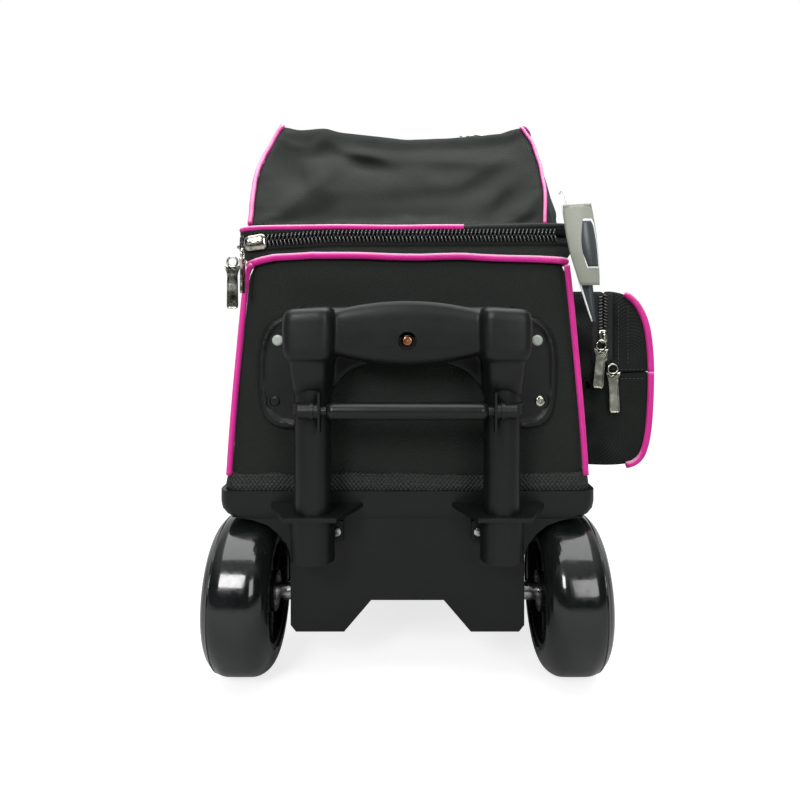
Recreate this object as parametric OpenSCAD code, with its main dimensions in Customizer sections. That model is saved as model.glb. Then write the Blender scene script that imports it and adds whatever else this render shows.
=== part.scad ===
// Two-ball roller bag: a fabric bag on a moulded wheeled base, with a telescopic pull handle.
// The working frame has x = 0 on the bag's middle plane, y = 0 on the wheel axle and the floor at z = ground_z.
// The rear of the bag, with the wheels and the handle, faces -Y. place() moves it to the floor and the centre
// of its box.

/* [Wheels] */
// Outer diameter of each wheel
wheel_d = 118; // [116:1:120]
// Width of each tyre
wheel_w = 48; // [44:1:50]
// Distance from the middle plane to each wheel's outer face
wheel_outer_x = 147; // [146:1:152]
// Radius where the tyre meets the hub
hub_r = 41; // [38:1:42]
// Diameter of the stub axles
axle_d = 7.94; // [7.8:0.02:7.98]

/* [Base tray] */
// Height of the tray's rim above the floor
rim_z = 152; // [150:1:156]
// Half-width of the tray at its rim
rim_half_w = 141; // [139:1:144]
// Half-width of the narrow housing between the wheels
housing_half_w = 87; // [84:1:88]
// Height of the housing's lower edge
housing_z = 47; // [44:1:52]
// Wall thickness of the moulded tray
tray_wall = 3; // [2:0.5:4]
// Furthest forward point of the tray
front_y = 486; // [470:1:500]

/* [Pull handle] */
// Distance from the middle plane to each handle tube
tube_x = 67; // [62:1:70]
// Rearward position of the handle tubes
tube_y = -45; // [-48:1:-42]
// Outer radius of the fixed outer tubes
tube_r = 13; // [12.5:0.5:13.5]
// Height of the top of the fixed outer tubes
tube_top_z = 265; // [258:1:266]
// Height of the cross bar
bar_z = 217; // [212:1:222]

/* [Bag body] */
// Half-width of the bag just above the tray
body_low_half_w = 134; // [130:1:136]
// Half-width of the bag at its top edge
body_top_half_w = 119; // [115:1:124]
// Height of the top edge of the side walls
body_top_z = 322; // [318:1:326]
// Thickness of the padded fabric walls
fabric = 2.5; // [1.5:0.5:3]
// Diameter of the ball seats
ball_seat_d = 220; // [218:1:222]

/* [Lid and pouch] */
// Half-width of the zipper band around the lid
band_half_w = 129; // [126:1:130]
// Height of the split between the two halves of the main zipper
split_z = 341; // [339:1:342]
// Height of the lid's top panel
lid_top_z = 350; // [348:1:352]
// Height of the top of the shoe pouch
pouch_top_z = 449; // [430:1:455]

/* [Side pocket] */
// Outer face of the side pocket
pocket_outer_x = 205; // [190:1:213]
// Rear face of the side pocket
pocket_rear_y = 45; // [40:1:70]
// Front face of the side pocket
pocket_front_y = 430; // [380:1:440]
// Position of the pocket zipper across the bag
pocket_zip_x = 165; // [160:1:172]
// Height of the fold that the pocket's outer half opens on
pocket_fold_z = 234; // [228:1:240]

/* [Hidden] */
$fn = 48;
hull_fn = 32;
eps = 0.01;
mating = 0.05;

black_plastic = "#17191a";
black_fabric = "#1d201e";
grey_foam = "#4a4c4c";
nickel = "#c9c9bd";
smoke = "#2b2e30";

block_front_y = -70;
ground_z = 9.5;
mid_x = (pocket_outer_x - wheel_outer_x) / 2;
mid_y = (front_y + 2 + block_front_y) / 2;
wheel_r = wheel_d / 2;
axle_z = ground_z + wheel_r;
axle_r = axle_d / 2;
wheel_inner_x = wheel_outer_x - wheel_w;
shoulder_r = 16;
body_rear_y = -20;
body_front_y = 478;
corner_r = 25;
body_taper = (body_low_half_w - body_top_half_w) / (body_top_z - rim_z);
well_top_z = 134;
floor_z = 82;
housing_rear_y = -22;
housing_front_y = 76;
rivet_r = 4.3;
rivet_shank_r = 2;
counterbore_r = 6.4;
plate_x = 111;
plate_front_y = -26;
block_top_z = 288;
arch_crown_z = 295;
arch_r = 320;
// Rivet places as [x, z], with the middle one last
rivets = [[-96, 264], [96, 264], [-98, 219], [98, 219], [0, 264.5]];
band_rear_y = -16;
band_depth = 13;
band_front_y = front_y + 2;
pouch_low = [-125, 127, -4, 474];
pouch_high = [-120, 118, 84, 430];
flap_lo = [-92, 98];
flap_hi = [50, 412];
ball_y = [100, 336];
ball_z = 94 + ball_seat_d / 2;
grip_z = 278;
grip_r = 10.5;
pull_w = 8;
pull_t = 2;

module place() translate([-mid_x, -mid_y, -ground_z]) children();

module both_sides() for (side = [0, 1]) mirror([side, 0, 0]) children();

// A plain box between two corners
module block(lo, hi) translate(lo) cube(hi - lo);

// A round bar along X
module bar_x(r, x0, x1, y, z) translate([x0, y, z]) rotate([0, 90, 0]) cylinder(r = r, h = x1 - x0);

// A round bar along Y
module bar_y(r, y0, y1, x, z) translate([x, y1, z]) rotate([90, 0, 0]) cylinder(r = r, h = y1 - y0);

// An upright tube or, with no inner radius, a rod
module tube(outer, inner, z0, z1) translate([0, 0, z0]) difference() {
    cylinder(r = outer, h = z1 - z0);
    if (inner > 0) translate([0, 0, -eps]) cylinder(r = inner, h = z1 - z0 + 2 * eps);
}

// A rectangle with round corners, made of true circles
module round_rect(lo, hi, r) {
    translate([lo.x + r, lo.y]) square([hi.x - lo.x - 2 * r, hi.y - lo.y]);
    translate([lo.x, lo.y + r]) square([hi.x - lo.x, hi.y - lo.y - 2 * r]);
    for (x = [lo.x + r, hi.x - r], y = [lo.y + r, hi.y - r]) translate([x, y]) circle(r);
}

// An outline drawn in X and Z, given depth along Y
module upright(y0, y1) translate([0, y1, 0]) rotate([90, 0, 0]) linear_extrude(y1 - y0) children();

// A thin slab with round corners: plan is [x low, x high, y low, y high]
module slab(plan, z, r) for (x = [plan[0] + r, plan[1] - r], y = [plan[2] + r, plan[3] - r])
    translate([x, y, z]) cylinder(r = r, h = eps, $fn = hull_fn);

// A block whose plan changes from the bottom to the top
module loft(low, z0, high, z1, r = corner_r) hull() {
    slab(low, z0, r);
    slab(high, z1 - eps, r);
}

function grown(plan, by) = [plan[0] - by, plan[1] + by, plan[2] - by, plan[3] + by];
function body_plan(z, by) = grown([-1, 1, 0, 0] * (body_low_half_w - (z - rim_z) * body_taper)
    + [0, 0, body_rear_y, body_front_y], by);
// The sloping body walls between two heights, moved out or in by a distance
module body_block(z0, z1, by) loft(body_plan(z0, by), z0, body_plan(z1, by), z1, corner_r + by);
// The zipper band's outline, moved in by a distance, between two heights
module band_block(z0, z1, inset) translate([0, 0, z0]) linear_extrude(z1 - z0)
    round_rect([inset - band_half_w, band_rear_y + inset], [band_half_w - inset, band_front_y - inset],
        corner_r - inset);

// ---- Base ----

// The housing between the wheels, with shoulders that curve out over them
module housing_outline() both_halves() polygon([[0, housing_z], [housing_half_w - 4, housing_z],
    [housing_half_w, housing_z + 5], [housing_half_w, 104], [housing_half_w + 3, 112],
    [housing_half_w + 9, 119.5],
    [housing_half_w + 17, 126], [housing_half_w + 28, 130], [housing_half_w + 44, 132.5], [0, 132.5]]);

module both_halves() for (side = [0, 1]) mirror([side, 0]) children();

// The tray's rim, with a rounded lower edge: each step is moved in by its first value at its second, a height
module rim_block() hull() for (step = [[9, 131], [4, 134], [1, 138], [0, 143], [0, rim_z - eps]])
    slab([step[0] - rim_half_w, rim_half_w - step[0], step[0] / 5 - 24, front_y - step[0] / 5], step[1], 12);

module base_tray() color(black_plastic) place() difference() {
    union() {
        rim_block();
        upright(housing_rear_y, housing_front_y) housing_outline();
        loft([-112, 112, 74, 476], floor_z, [-132, 132, 74, 484], 132, 14);
    }
    loft([-132, 132, -22, 484] + tray_wall * [1, -1, 1, -1], well_top_z,
        [-rim_half_w, rim_half_w, -24, front_y] + tray_wall * [1, -1, 1, -1], rim_z + 1, 9);
    block([-84, -19, floor_z + 4], [84, 90, rim_z]);
    loft([-106, 106, 80, 472], floor_z + 4, [-126, 126, 80, 480], rim_z, 12);
    difference() {
        block([-83, -18, housing_z - 1], [83, 72, floor_z - 1]);
        both_sides() bar_x(14, 60, 84, 0, axle_z);
    }
    upright(-40, 90) polygon([[-48, housing_z - 1], [48, housing_z - 1], [27, 70.5], [-27, 70.5]]);
    bar_x(axle_r + mating, -100, 100, 0, axle_z);
    both_sides() for (x = [tube_x - 15, tube_x + 15]) bar_y(1.6, -24, -18, x, 123);
}

module tube_ledges() color(black_plastic) place() both_sides() difference() {
    union() {
        translate([tube_x, 0, 140.5]) linear_extrude(3)
            polygon([[-34, -24.1], [34, -24.1], [18.5, -62], [-18.5, -62]]);
        translate([tube_x, tube_y, 0]) tube(15.5, 0, 110, 140.6);
        block([tube_x - 6, -36, 112], [tube_x + 6, -22.1, 130.8]);
        block([tube_x - 6, -36, 130.7], [tube_x + 6, -24.1, 141]);
        block([tube_x - 19.5, -26, 116], [tube_x + 19.5, -22.1, 130.5]);
    }
    translate([tube_x, tube_y, 0]) tube(tube_r + mating, 0, 112, 160);
    for (x = [tube_x - 15, tube_x + 15]) bar_y(1.6, -30, -18, x, 123);
}

module ledge_screws() color(nickel) place() both_sides() for (x = [tube_x - 15, tube_x + 15]) {
    bar_y(1.5, -26, -18.7, x, 123);
    bar_y(3, -28, -26, x, 123);
}

module stub_axles() color(nickel) place() both_sides() {
    bar_x(axle_r, 52, 136, 0, axle_z);
    bar_x(6.5, 135.2, 140, 0, axle_z, $fn = 6);
}

module axle_nuts() color(nickel) place() both_sides() difference() {
    bar_x(7, 53, 59.8, 0, axle_z, $fn = 6);
    bar_x(axle_r + mating, 50, 62, 0, axle_z);
}

module axle_spacers() color(nickel) place() both_sides() difference() {
    bar_x(6.5, housing_half_w + 0.1, wheel_inner_x + 1.9, 0, axle_z);
    bar_x(axle_r + mating, housing_half_w, wheel_inner_x + 3, 0, axle_z);
}

module front_stand() color(black_plastic) place() difference() {
    union() {
        both_sides() loft([68, 100, 408, 444], ground_z + 3, [58, 108, 392, 456], floor_z, 8);
        block([-70, 414, 58], [70, 436, floor_z]);
    }
    both_sides() translate([84, 426, ground_z]) cylinder(r = 1.8, h = 20);
}

module foot_pads() color("#101111") place() both_sides() translate([84, 426, ground_z]) difference() {
    union() {
        cylinder(r = 15, h = 3);
        cylinder(r1 = 13, r2 = 15, h = 2);
    }
    translate([0, 0, -1]) cylinder(r = 4, h = 2.6);
    cylinder(r = 1.8, h = 5);
}

module foot_screws() color(nickel) place() both_sides() translate([84, 426, ground_z]) {
    translate([0, 0, 0.6]) cylinder(r = 3.5, h = 1);
    translate([0, 0, 1.5]) cylinder(r = 1.75, h = 14);
}

// ---- Wheels, drawn for the right side with x measured from the tyre's inner face ----

module at_wheel(side) translate([side * wheel_inner_x, 0, axle_z]) mirror([side < 0 ? 1 : 0, 0, 0])
    rotate([0, 90, 0]) children();

module tyre() rotate_extrude($fn = 96) difference() {
    union() {
        translate([hub_r, 0]) square([wheel_r - shoulder_r - hub_r, wheel_w]);
        translate([hub_r, shoulder_r]) square([wheel_r - hub_r, wheel_w - 2 * shoulder_r]);
        for (x = [shoulder_r, wheel_w - shoulder_r]) translate([wheel_r - shoulder_r, x]) circle(shoulder_r);
    }
    square([hub_r, wheel_w]);
}

// Ribs between the hub's core and its rim
module spokes(count, z0, z1) for (i = [0:count - 1]) rotate([0, 0, i * 360 / count])
    translate([12, -3, z0]) cube([hub_r - 14, 6, z1 - z0]);

module hub() difference() {
    union() {
        tube(hub_r, hub_r - 4, 2, wheel_w - 2);
        tube(15, 0, 2, wheel_w - 2);
        tube(hub_r - 1, 0, 22, 26);
        spokes(6, 6, wheel_w - 6);
    }
    translate([0, 0, 1]) cylinder(r = 11, h = 8);
    translate([0, 0, 8]) cylinder(r = 8, h = 22);
    translate([0, 0, 29]) cylinder(r = 11, h = 20);
}

module bearings() for (z = [2, 29]) tube(11, 4, z, z + 7);

module hub_cap() {
    tube(15, 0, wheel_w - 2, wheel_w);
    tube(10.9, 8.9, wheel_w - 6, wheel_w - 1.9);
}

module left_tyre() color(smoke) place() at_wheel(-1) tyre();
module left_hub() color(black_plastic) place() at_wheel(-1) hub();
module left_bearings() color(nickel) place() at_wheel(-1) bearings();
module left_hub_cap() color(black_plastic) place() at_wheel(-1) hub_cap();
module right_tyre() color(smoke) place() at_wheel(1) tyre();
module right_hub() color(black_plastic) place() at_wheel(1) hub();
module right_bearings() color(nickel) place() at_wheel(1) bearings();
module right_hub_cap() color(black_plastic) place() at_wheel(1) hub_cap();

// ---- Pull handle ----

// The bracket's mounting plate: wings with large round corners, and an open arch between its legs
module bracket_plate_outline() difference() {
    union() {
        round_rect([-plate_x, 198], [plate_x, 282], 17);
        round_rect([-88, 230], [88, block_top_z - 1], 10);
    }
    translate([-64, 190]) square([128, 30]);
    translate([0, 220]) scale([64 / 25, 1]) circle(25);
}

// The arch between the two sockets, curved along its top and bottom edges
module arch_outline() difference() {
    intersection() {
        translate([-60, 240]) square([120, 60]);
        translate([0, arch_crown_z - arch_r]) circle(arch_r, $fn = 180);
    }
    translate([0, 247 - 150]) circle(150, $fn = 120);
}

module handle_bracket() color(black_plastic) place() difference() {
    union() {
        upright(plate_front_y, body_rear_y - 0.1) bracket_plate_outline();
        upright(-60, plate_front_y + eps) arch_outline();
        both_sides() {
            upright(block_front_y, plate_front_y) round_rect([50, 248], [86, block_top_z], 6);
            translate([54, 0, 0]) rotate([90, 0, 90]) linear_extrude(28)
                polygon([[-66, 250], [-65, 241], [-60, 231], [-52, 225], [-44, 222], [-30, 213], [-25, 206],
                    [-25, 250]]);
        }
    }
    block([-81.5, tube_y - 12, grip_z - grip_r - 0.5], [81.5, tube_y + 12, arch_crown_z + 5]);
    both_sides() translate([tube_x, tube_y, 0]) tube(tube_r + mating, 0, 180, grip_z - grip_r);
    for (p = rivets) bar_y(counterbore_r, -80, -23.5, p.x, p[1]);
    for (p = rivets) bar_y(rivet_shank_r + mating, -30, -10, p.x, p[1]);
}

module bracket_rivets() color(nickel) place() for (p = rivets) {
    bar_y(rivet_r, -25.4, -23.5, p.x, p[1]);
    bar_y(rivet_shank_r, -24, -12, p.x, p[1]);
}

module bracket_backing_plate() color("#8d9092") place() difference() {
    upright(-14.9, -12.9) round_rect([-104, 208], [104, 275], 8);
    for (p = rivets) bar_y(rivet_shank_r + mating, -30, -10, p.x, p[1]);
}

module outer_tubes() color(black_plastic) place() both_sides() translate([tube_x, tube_y, 0])
    tube(tube_r, tube_r - 0.8, 112, tube_top_z);

module guide_bushes() color("#2c2e30") place() both_sides() translate([tube_x, tube_y, 0])
    tube(tube_r - 0.8, stage_outer(1) + mating, tube_top_z - 12, tube_top_z);

// Each stage slides inside the one before it, 0.3 mm clear of it
function stage_outer(n) = tube_r - 0.8 - 1 - (n - 1) * 1.2;
module stage(n, z0, z1) place() both_sides() translate([tube_x, tube_y, 0])
    tube(stage_outer(n), stage_outer(n) - 0.9, z0, z1);

module stage_1_tubes() color("#9a9c9c") stage(1, 116, tube_top_z + 1.2);
module stage_2_tubes() color("#9a9c9c") stage(2, 117, tube_top_z + 1.6);
module stage_3_tubes() color("#9a9c9c") stage(3, 118, tube_top_z + 2);
module stage_4_tubes() color("#9a9c9c") stage(4, 119, grip_z + 7);

module grip_body() difference() {
    union() {
        bar_x(grip_r, -66, 66, tube_y, grip_z);
        both_sides() translate([tube_x, tube_y, 0]) tube(11.5, 0, grip_z - 10, grip_z + 10.5);
    }
    both_sides() translate([tube_x, tube_y, 0]) tube(stage_outer(4), 0, grip_z - 13, grip_z + 7);
    translate([0, tube_y, 0]) tube(6.8, 0, grip_z - 6, grip_z + 7.4);
    translate([0, tube_y, 0]) tube(5 + mating, 0, grip_z + 7, grip_z + 17);
    for (x = [-35, 35]) translate([x, tube_y, 0]) {
        tube(1.5, 0, grip_z - 13, grip_z + 6);
        tube(3.2, 0, grip_z - 23, grip_z - 7);
    }
}

module grip_upper() color(black_plastic) place() intersection() {
    grip_body();
    block([-90, -70, grip_z], [90, -20, grip_z + 30]);
}

module grip_lower() color(black_plastic) place() intersection() {
    grip_body();
    block([-90, -70, grip_z - 30], [90, -20, grip_z]);
}

module grip_screws() color(nickel) place() for (x = [-35, 35]) translate([x, tube_y, 0]) {
    tube(1.45, 0, grip_z - 8, grip_z + 5);
    tube(3, 0, grip_z - 9.4, grip_z - 7);
}

module release_button() color("#3a3d3e") place() translate([0, tube_y, 0]) {
    tube(6.5, 0, grip_z + 3.5, grip_z + 5.5);
    tube(5, 0, grip_z + 5, grip_z + 12.5);
}

// One ring of the spring wire at a turn, as points around the helix
function spring_ring(t) = [for (a = [0:60:300]) let (r = 4.6 + 0.45 * cos(a))
    [r * cos(360 * t), r * sin(360 * t), grip_z - 5.5 + 1.75 * t + 0.45 * sin(a)]];
spring_steps = 60;
module button_spring() color(nickel) place() translate([0, tube_y, 0]) polyhedron(
    points = [for (i = [0:spring_steps]) each spring_ring(i * 4.8 / spring_steps)],
    faces = concat([[0, 1, 2, 3, 4, 5]], [[for (k = [5:-1:0]) spring_steps * 6 + k]],
        [for (i = [0:spring_steps - 1], k = [0:5]) [i * 6 + k, (i + 1) * 6 + k,
            (i + 1) * 6 + (k + 1) % 6, i * 6 + (k + 1) % 6]]));

bar_y_pos = tube_y - tube_r - 5.6;
module cross_bar() color(black_plastic) place() bar_x(3.6, -72, 72, bar_y_pos, bar_z);

module cross_bar_sleeve() color(black_plastic) place() difference() {
    union() {
        bar_x(6.2, -50, 50, bar_y_pos, bar_z);
        for (x = [-50, 50]) translate([x, bar_y_pos, bar_z]) sphere(6.2);
    }
    bar_x(3.6 + mating, -80, 80, bar_y_pos, bar_z);
}

module cross_bar_clamps() color(black_plastic) place() both_sides() difference() {
    union() {
        bar_x(5.4, 60, 74, bar_y_pos, bar_z);
        bar_x(6.3, 63.5, 66, bar_y_pos, bar_z);
        block([58.9, -69, bar_z - 14], [60.4, -60, bar_z + 13]);
        translate([tube_x, tube_y, 0]) tube(tube_r + 2, 0, bar_z - 4, bar_z + 4);
    }
    bar_x(3.6 + mating, 50, 80, bar_y_pos, bar_z);
    translate([tube_x, tube_y, 0]) tube(tube_r + mating, 0, 180, 250);
    block([40, tube_y, 180], [90, 0, 250]);
}

// ---- Bag body ----

module body_shell() color(black_fabric) place() difference() {
    union() {
        body_block(rim_z - 6, body_top_z, 0);
        block([-83.5, -18.5, floor_z + 4.2], [83.5, 82, rim_z - 5]);
        loft([-105.5, 105.5, 80.5, 471.5], floor_z + 4.2, [-124, 124, 80.5, 478], rim_z - 5, 12);
    }
    body_block(rim_z - 4, body_top_z + 1, -fabric);
    block([-81, -16, floor_z + 6.7], [81, 90, rim_z]);
    loft([-103, 103, 83, 469], floor_z + 6.7, [-121, 121, 83, 474], rim_z, 10);
    for (p = rivets) bar_y(rivet_shank_r + mating, -30, -10, p.x, p[1]);
}

module base_binding() color(black_fabric) place() difference() {
    body_block(rim_z + 0.2, rim_z + 13, 2.6);
    body_block(rim_z - 5, rim_z + 20, 0.2);
}

module wall_boards() color("#2a2c2c") place() difference() {
    body_block(rim_z + 2, body_top_z - 6, -fabric - 0.1);
    body_block(rim_z, body_top_z, -fabric - 1.7);
    for (p = rivets) bar_y(rivet_shank_r + mating, -30, -10, p.x, p[1]);
}

module ball_foam() color(grey_foam) place() difference() {
    block([-80, -15, floor_z + 7], [80, 466, 132]);
    for (y = ball_y) translate([0, y, ball_z]) sphere(ball_seat_d / 2, $fn = 96);
}

module zipper_collar() color(black_fabric) place() difference() {
    band_block(body_top_z + 0.1, split_z - 0.4, 0);
    band_block(body_top_z - 5, split_z + 5, band_depth);
}

module grab_strap() color(black_fabric) place() {
    for (x = [-62, 62]) block([x - 15, body_front_y + 0.1, 240], [x + 15, body_front_y + 2.6, 264]);
    translate([-77, 0, 0]) block([0, body_front_y + 2.6, 240], [30, body_front_y + 5, 264]);
    translate([47, 0, 0]) block([0, body_front_y + 2.6, 240], [30, body_front_y + 5, 264]);
    block([-62, body_front_y + 7.5, 240], [62, body_front_y + 9.9, 264]);
    for (x = [-62, 47]) block([x, body_front_y + 4.9, 240], [x + 15, body_front_y + 7.6, 264]);
}

// ---- Lid and shoe pouch ----

module lid_shell() color(black_fabric) place() difference() {
    band_block(split_z + 0.4, lid_top_z, 0);
    band_block(split_z - 5, lid_top_z - fabric, band_depth);
}

module lid_board() color("#2a2c2c") place() translate([0, 0, lid_top_z - fabric - 2]) linear_extrude(1.8)
    round_rect([-band_half_w + 14, band_rear_y + 14], [band_half_w - 14, band_front_y - 14], 10);

module pouch_shell() color(black_fabric) place() difference() {
    loft(pouch_low, lid_top_z + 0.1, pouch_high, pouch_top_z - 2, 14);
    loft(grown(pouch_low, -3), lid_top_z + 3, grown(pouch_high, -3), pouch_top_z - 5, 12);
    translate([0, 0, pouch_top_z - 20]) linear_extrude(30) round_rect(flap_lo, flap_hi, 20);
}

module pouch_flap() color(black_fabric) place() translate([0, 0, pouch_top_z - 4.8]) linear_extrude(2.8)
    round_rect(flap_lo + [0.6, 0.6], flap_hi - [0.6, 0.6], 19.5);

// ---- Zip sliders and their pulls ----

// A slider body lying in X and Y with its back on z = 0, and the bridge that holds the pull
module slider_body(length, width) {
    linear_extrude(3) round_rect([-length / 2, -width / 2], [length / 2, width / 2], 3);
    translate([-4, -1.5, 2.9]) cube([8, 3, 2.4]);
}

// A pull lying in X and Z: a ring at the origin, a notched head below it and a flat bar
module pull_shape(length) difference() {
    union() {
        bar_y(4, -pull_t / 2, pull_t / 2, 0, 0);
        upright(-pull_t / 2, pull_t / 2) polygon([[-6, -2.6], [-3, -4.4], [0, -2.8], [3, -4.4], [6, -2.6],
            [pull_w / 2, -9], [pull_w / 2, -length], [-pull_w / 2, -length], [-pull_w / 2, -9]]);
    }
    bar_y(2.4, -pull_t, pull_t, 0, 0);
}

corner_split_z = 337;
rear_slider_x = -114;
rear_pull_at = [-120.5, -30.5, 327];
module rear_slider() color(nickel) place() translate([rear_slider_x, band_rear_y - 0.4, corner_split_z])
    rotate([90, 0, 0]) slider_body(16, 13);
module rear_pull() color(nickel) place() translate(rear_pull_at) rotate([0, 0, 90]) pull_shape(28.5);

side_slider_y = 14;
side_pull_at = [-138.5, 8, 325];
module side_slider() color(nickel) place() translate([-band_half_w - 0.4, side_slider_y, corner_split_z])
    rotate([90, 0, -90]) slider_body(16, 13);
module side_pull() color(nickel) place() translate(side_pull_at) pull_shape(37);

pouch_slider_y = 108;
pouch_pull_at = [59.5, pouch_slider_y, pouch_top_z + 2.9];
module pouch_slider() color(nickel) place() translate([flap_hi.x, pouch_slider_y, pouch_top_z - 1.7])
    rotate([0, 0, 90]) slider_body(12, 10);
module pouch_pull() color(nickel) place() translate(pouch_pull_at) rotate([0, -90, 0]) rotate([0, 0, 90])
    pull_shape(24);

upper_slider_z = 265;
lower_slider_z = 249;
module pocket_slider(z) translate([pocket_zip_x, pocket_rear_y - 0.4, z]) rotate([90, 90, 0])
    slider_body(11, 9);
module upper_pocket_slider() color(nickel) place() pocket_slider(upper_slider_z);
module upper_pocket_pull() color(nickel) place()
    translate([pocket_zip_x - 3.2, pocket_rear_y - 8.6, upper_slider_z - 7]) pull_shape(36);
module lower_pocket_slider() color(nickel) place() pocket_slider(lower_slider_z);
module lower_pocket_pull() color(nickel) place()
    translate([pocket_zip_x + 7.2, pocket_rear_y - 6.3, lower_slider_z - 11]) pull_shape(37);

// ---- Side pocket ----

// The pocket's outline across the bag: its inner edge follows the body's sloping side
function pocket_outline(by) = let (z0 = 157 - by, z1 = 303 + by, x1 = pocket_outer_x + by, r = 24 + by)
    concat(
    [[body_low_half_w + 0.5 - (z0 - rim_z) * body_taper - by, z0]],
    [for (a = [-90:7.5:0]) [x1 - r + r * cos(a), z0 + r + r * sin(a)]],
    [for (a = [0:7.5:90]) [x1 - r + r * cos(a), z1 - r + r * sin(a)]],
    [[body_low_half_w + 0.5 - (z1 - rim_z) * body_taper - by, z1]]);

module pocket_shell() difference() {
    upright(pocket_rear_y, pocket_front_y) polygon(pocket_outline(0));
    upright(pocket_rear_y + fabric, pocket_front_y - fabric) polygon(pocket_outline(-fabric));
}

module pocket_bucket() color(black_fabric) place() difference() {
    pocket_shell();
    block([pocket_zip_x, 0, pocket_fold_z - 0.3], [pocket_outer_x + 10, 500, 320]);
    body_block(rim_z - 1, rim_z + 13.4, 2.9);
}

module pocket_flap() color(black_fabric) place() intersection() {
    pocket_shell();
    block([pocket_zip_x + 0.6, 0, pocket_fold_z + 0.3], [pocket_outer_x + 10, 500, 320]);
}

// ---- Hang tag ----

tag_at = [116, -29.5, 366];
// One leaf of the folded card: its outline hangs from the fold, turned about the pin
module tag_leaf(outline, y, turn) rotate([0, 0, turn]) translate([0, y, 0]) rotate([90, 0, 0])
    linear_extrude(1) polygon(outline);

module hang_tag() color("#8a8d84") place() translate(tag_at) {
    tag_leaf([[-2, -4.5], [18, -4.5], [24, -60], [11, -60]], -0.2, -20);
    tag_leaf([[-2, -4.5], [14, -4.5], [21, -86], [17, -86]], 1.2, -8);
    rotate([0, 0, -20]) block([-2, -1.2, -5], [18, 1.2, -3.6]);
}

module tag_fastener() color("#d8d8d2") place() translate(tag_at + [0, 0, -3]) {
    block([-0.8, -0.8, -0.5], [0.8, 0.8, 8]);
    block([-4, -0.8, 7], [0.8, 0.8, 8.4]);
}

base_tray();
tube_ledges();
ledge_screws();
stub_axles();
axle_nuts();
axle_spacers();
front_stand();
foot_pads();
foot_screws();
left_tyre();
left_hub();
left_bearings();
left_hub_cap();
right_tyre();
right_hub();
right_bearings();
right_hub_cap();
handle_bracket();
bracket_rivets();
bracket_backing_plate();
outer_tubes();
guide_bushes();
stage_1_tubes();
stage_2_tubes();
stage_3_tubes();
stage_4_tubes();
grip_upper();
grip_lower();
grip_screws();
release_button();
button_spring();
cross_bar();
cross_bar_sleeve();
cross_bar_clamps();
body_shell();
base_binding();
wall_boards();
ball_foam();
zipper_collar();
grab_strap();
lid_shell();
lid_board();
pouch_shell();
pouch_flap();
pouch_slider();
pouch_pull();
rear_slider();
rear_pull();
side_slider();
side_pull();
pocket_bucket();
pocket_flap();
upper_pocket_slider();
upper_pocket_pull();
lower_pocket_slider();
lower_pocket_pull();
hang_tag();
tag_fastener();
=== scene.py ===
"""Looks for a two-ball roller bag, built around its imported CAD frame.

Lengths are in millimetres in the bag's own coordinates: x from the bag's middle plane, y forward from the wheel
axle, z up, with the floor at GROUND_Z. at() and to_row() turn them into the frame's metres.
"""

import math

import bmesh
import bpy
import numpy as np
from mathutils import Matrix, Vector, noise


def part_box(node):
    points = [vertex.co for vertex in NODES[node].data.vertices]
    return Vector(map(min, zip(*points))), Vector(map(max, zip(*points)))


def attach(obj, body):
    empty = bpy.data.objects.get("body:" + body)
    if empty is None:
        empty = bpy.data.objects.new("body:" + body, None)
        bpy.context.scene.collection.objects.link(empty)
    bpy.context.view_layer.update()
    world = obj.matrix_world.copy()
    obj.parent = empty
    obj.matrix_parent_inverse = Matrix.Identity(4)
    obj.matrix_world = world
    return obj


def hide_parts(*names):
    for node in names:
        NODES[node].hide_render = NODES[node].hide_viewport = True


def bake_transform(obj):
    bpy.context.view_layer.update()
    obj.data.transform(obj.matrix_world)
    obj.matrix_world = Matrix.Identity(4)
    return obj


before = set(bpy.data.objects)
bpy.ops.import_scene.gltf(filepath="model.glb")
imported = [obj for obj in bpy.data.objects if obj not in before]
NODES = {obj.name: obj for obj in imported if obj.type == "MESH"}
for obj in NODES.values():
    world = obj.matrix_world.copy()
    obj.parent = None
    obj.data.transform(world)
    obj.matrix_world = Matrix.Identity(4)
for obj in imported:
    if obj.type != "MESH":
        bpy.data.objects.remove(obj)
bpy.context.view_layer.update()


def middle(node):
    lo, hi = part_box(node)
    return [(a + b) / 2 for a, b in zip(lo, hi)]


MID_X = middle("handle_bracket")[0]
AXLE_Y = middle("left_tyre")[1]
GROUND_Z = 9.5
ORIGIN = np.array([MID_X, AXLE_Y, -GROUND_Z / 1000])


def at(x, y, z):
    """A point in bag millimetres as a vector in the frame's metres."""
    return Vector(ORIGIN + np.array([x, y, z]) / 1000)


def to_row(points):
    return np.asarray(points, float) / 1000 + ORIGIN


def mm_box(node):
    """A CAD node's two corners in bag millimetres."""
    return [(np.array(c) - ORIGIN) * 1000 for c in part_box(node)]


# ---- Camera, lights and floor ----

CAMERA_AT = (1.0, -500.0, 279.0)
LENS_MM = 28.9


def make_camera():
    data = bpy.data.cameras.new("camera")
    data.sensor_width = 36
    data.lens = LENS_MM
    data.shift_x = -0.011
    data.shift_y = -0.10
    data.clip_start = 0.01
    camera = bpy.data.objects.new("camera", data)
    camera.location = at(*CAMERA_AT)
    camera.rotation_euler = (math.radians(90), 0, 0)
    bpy.context.scene.collection.objects.link(camera)
    bpy.context.scene.camera = camera


def area_light(name, place, target, size, watts):
    data = bpy.data.lights.new(name, "AREA")
    data.shape = "RECTANGLE"
    data.size, data.size_y = size
    data.energy = watts
    light = bpy.data.objects.new(name, data)
    light.location = at(*place)
    aim = at(*target) - light.location
    light.rotation_euler = aim.to_track_quat("-Z", "Y").to_euler()
    bpy.context.scene.collection.objects.link(light)


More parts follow.
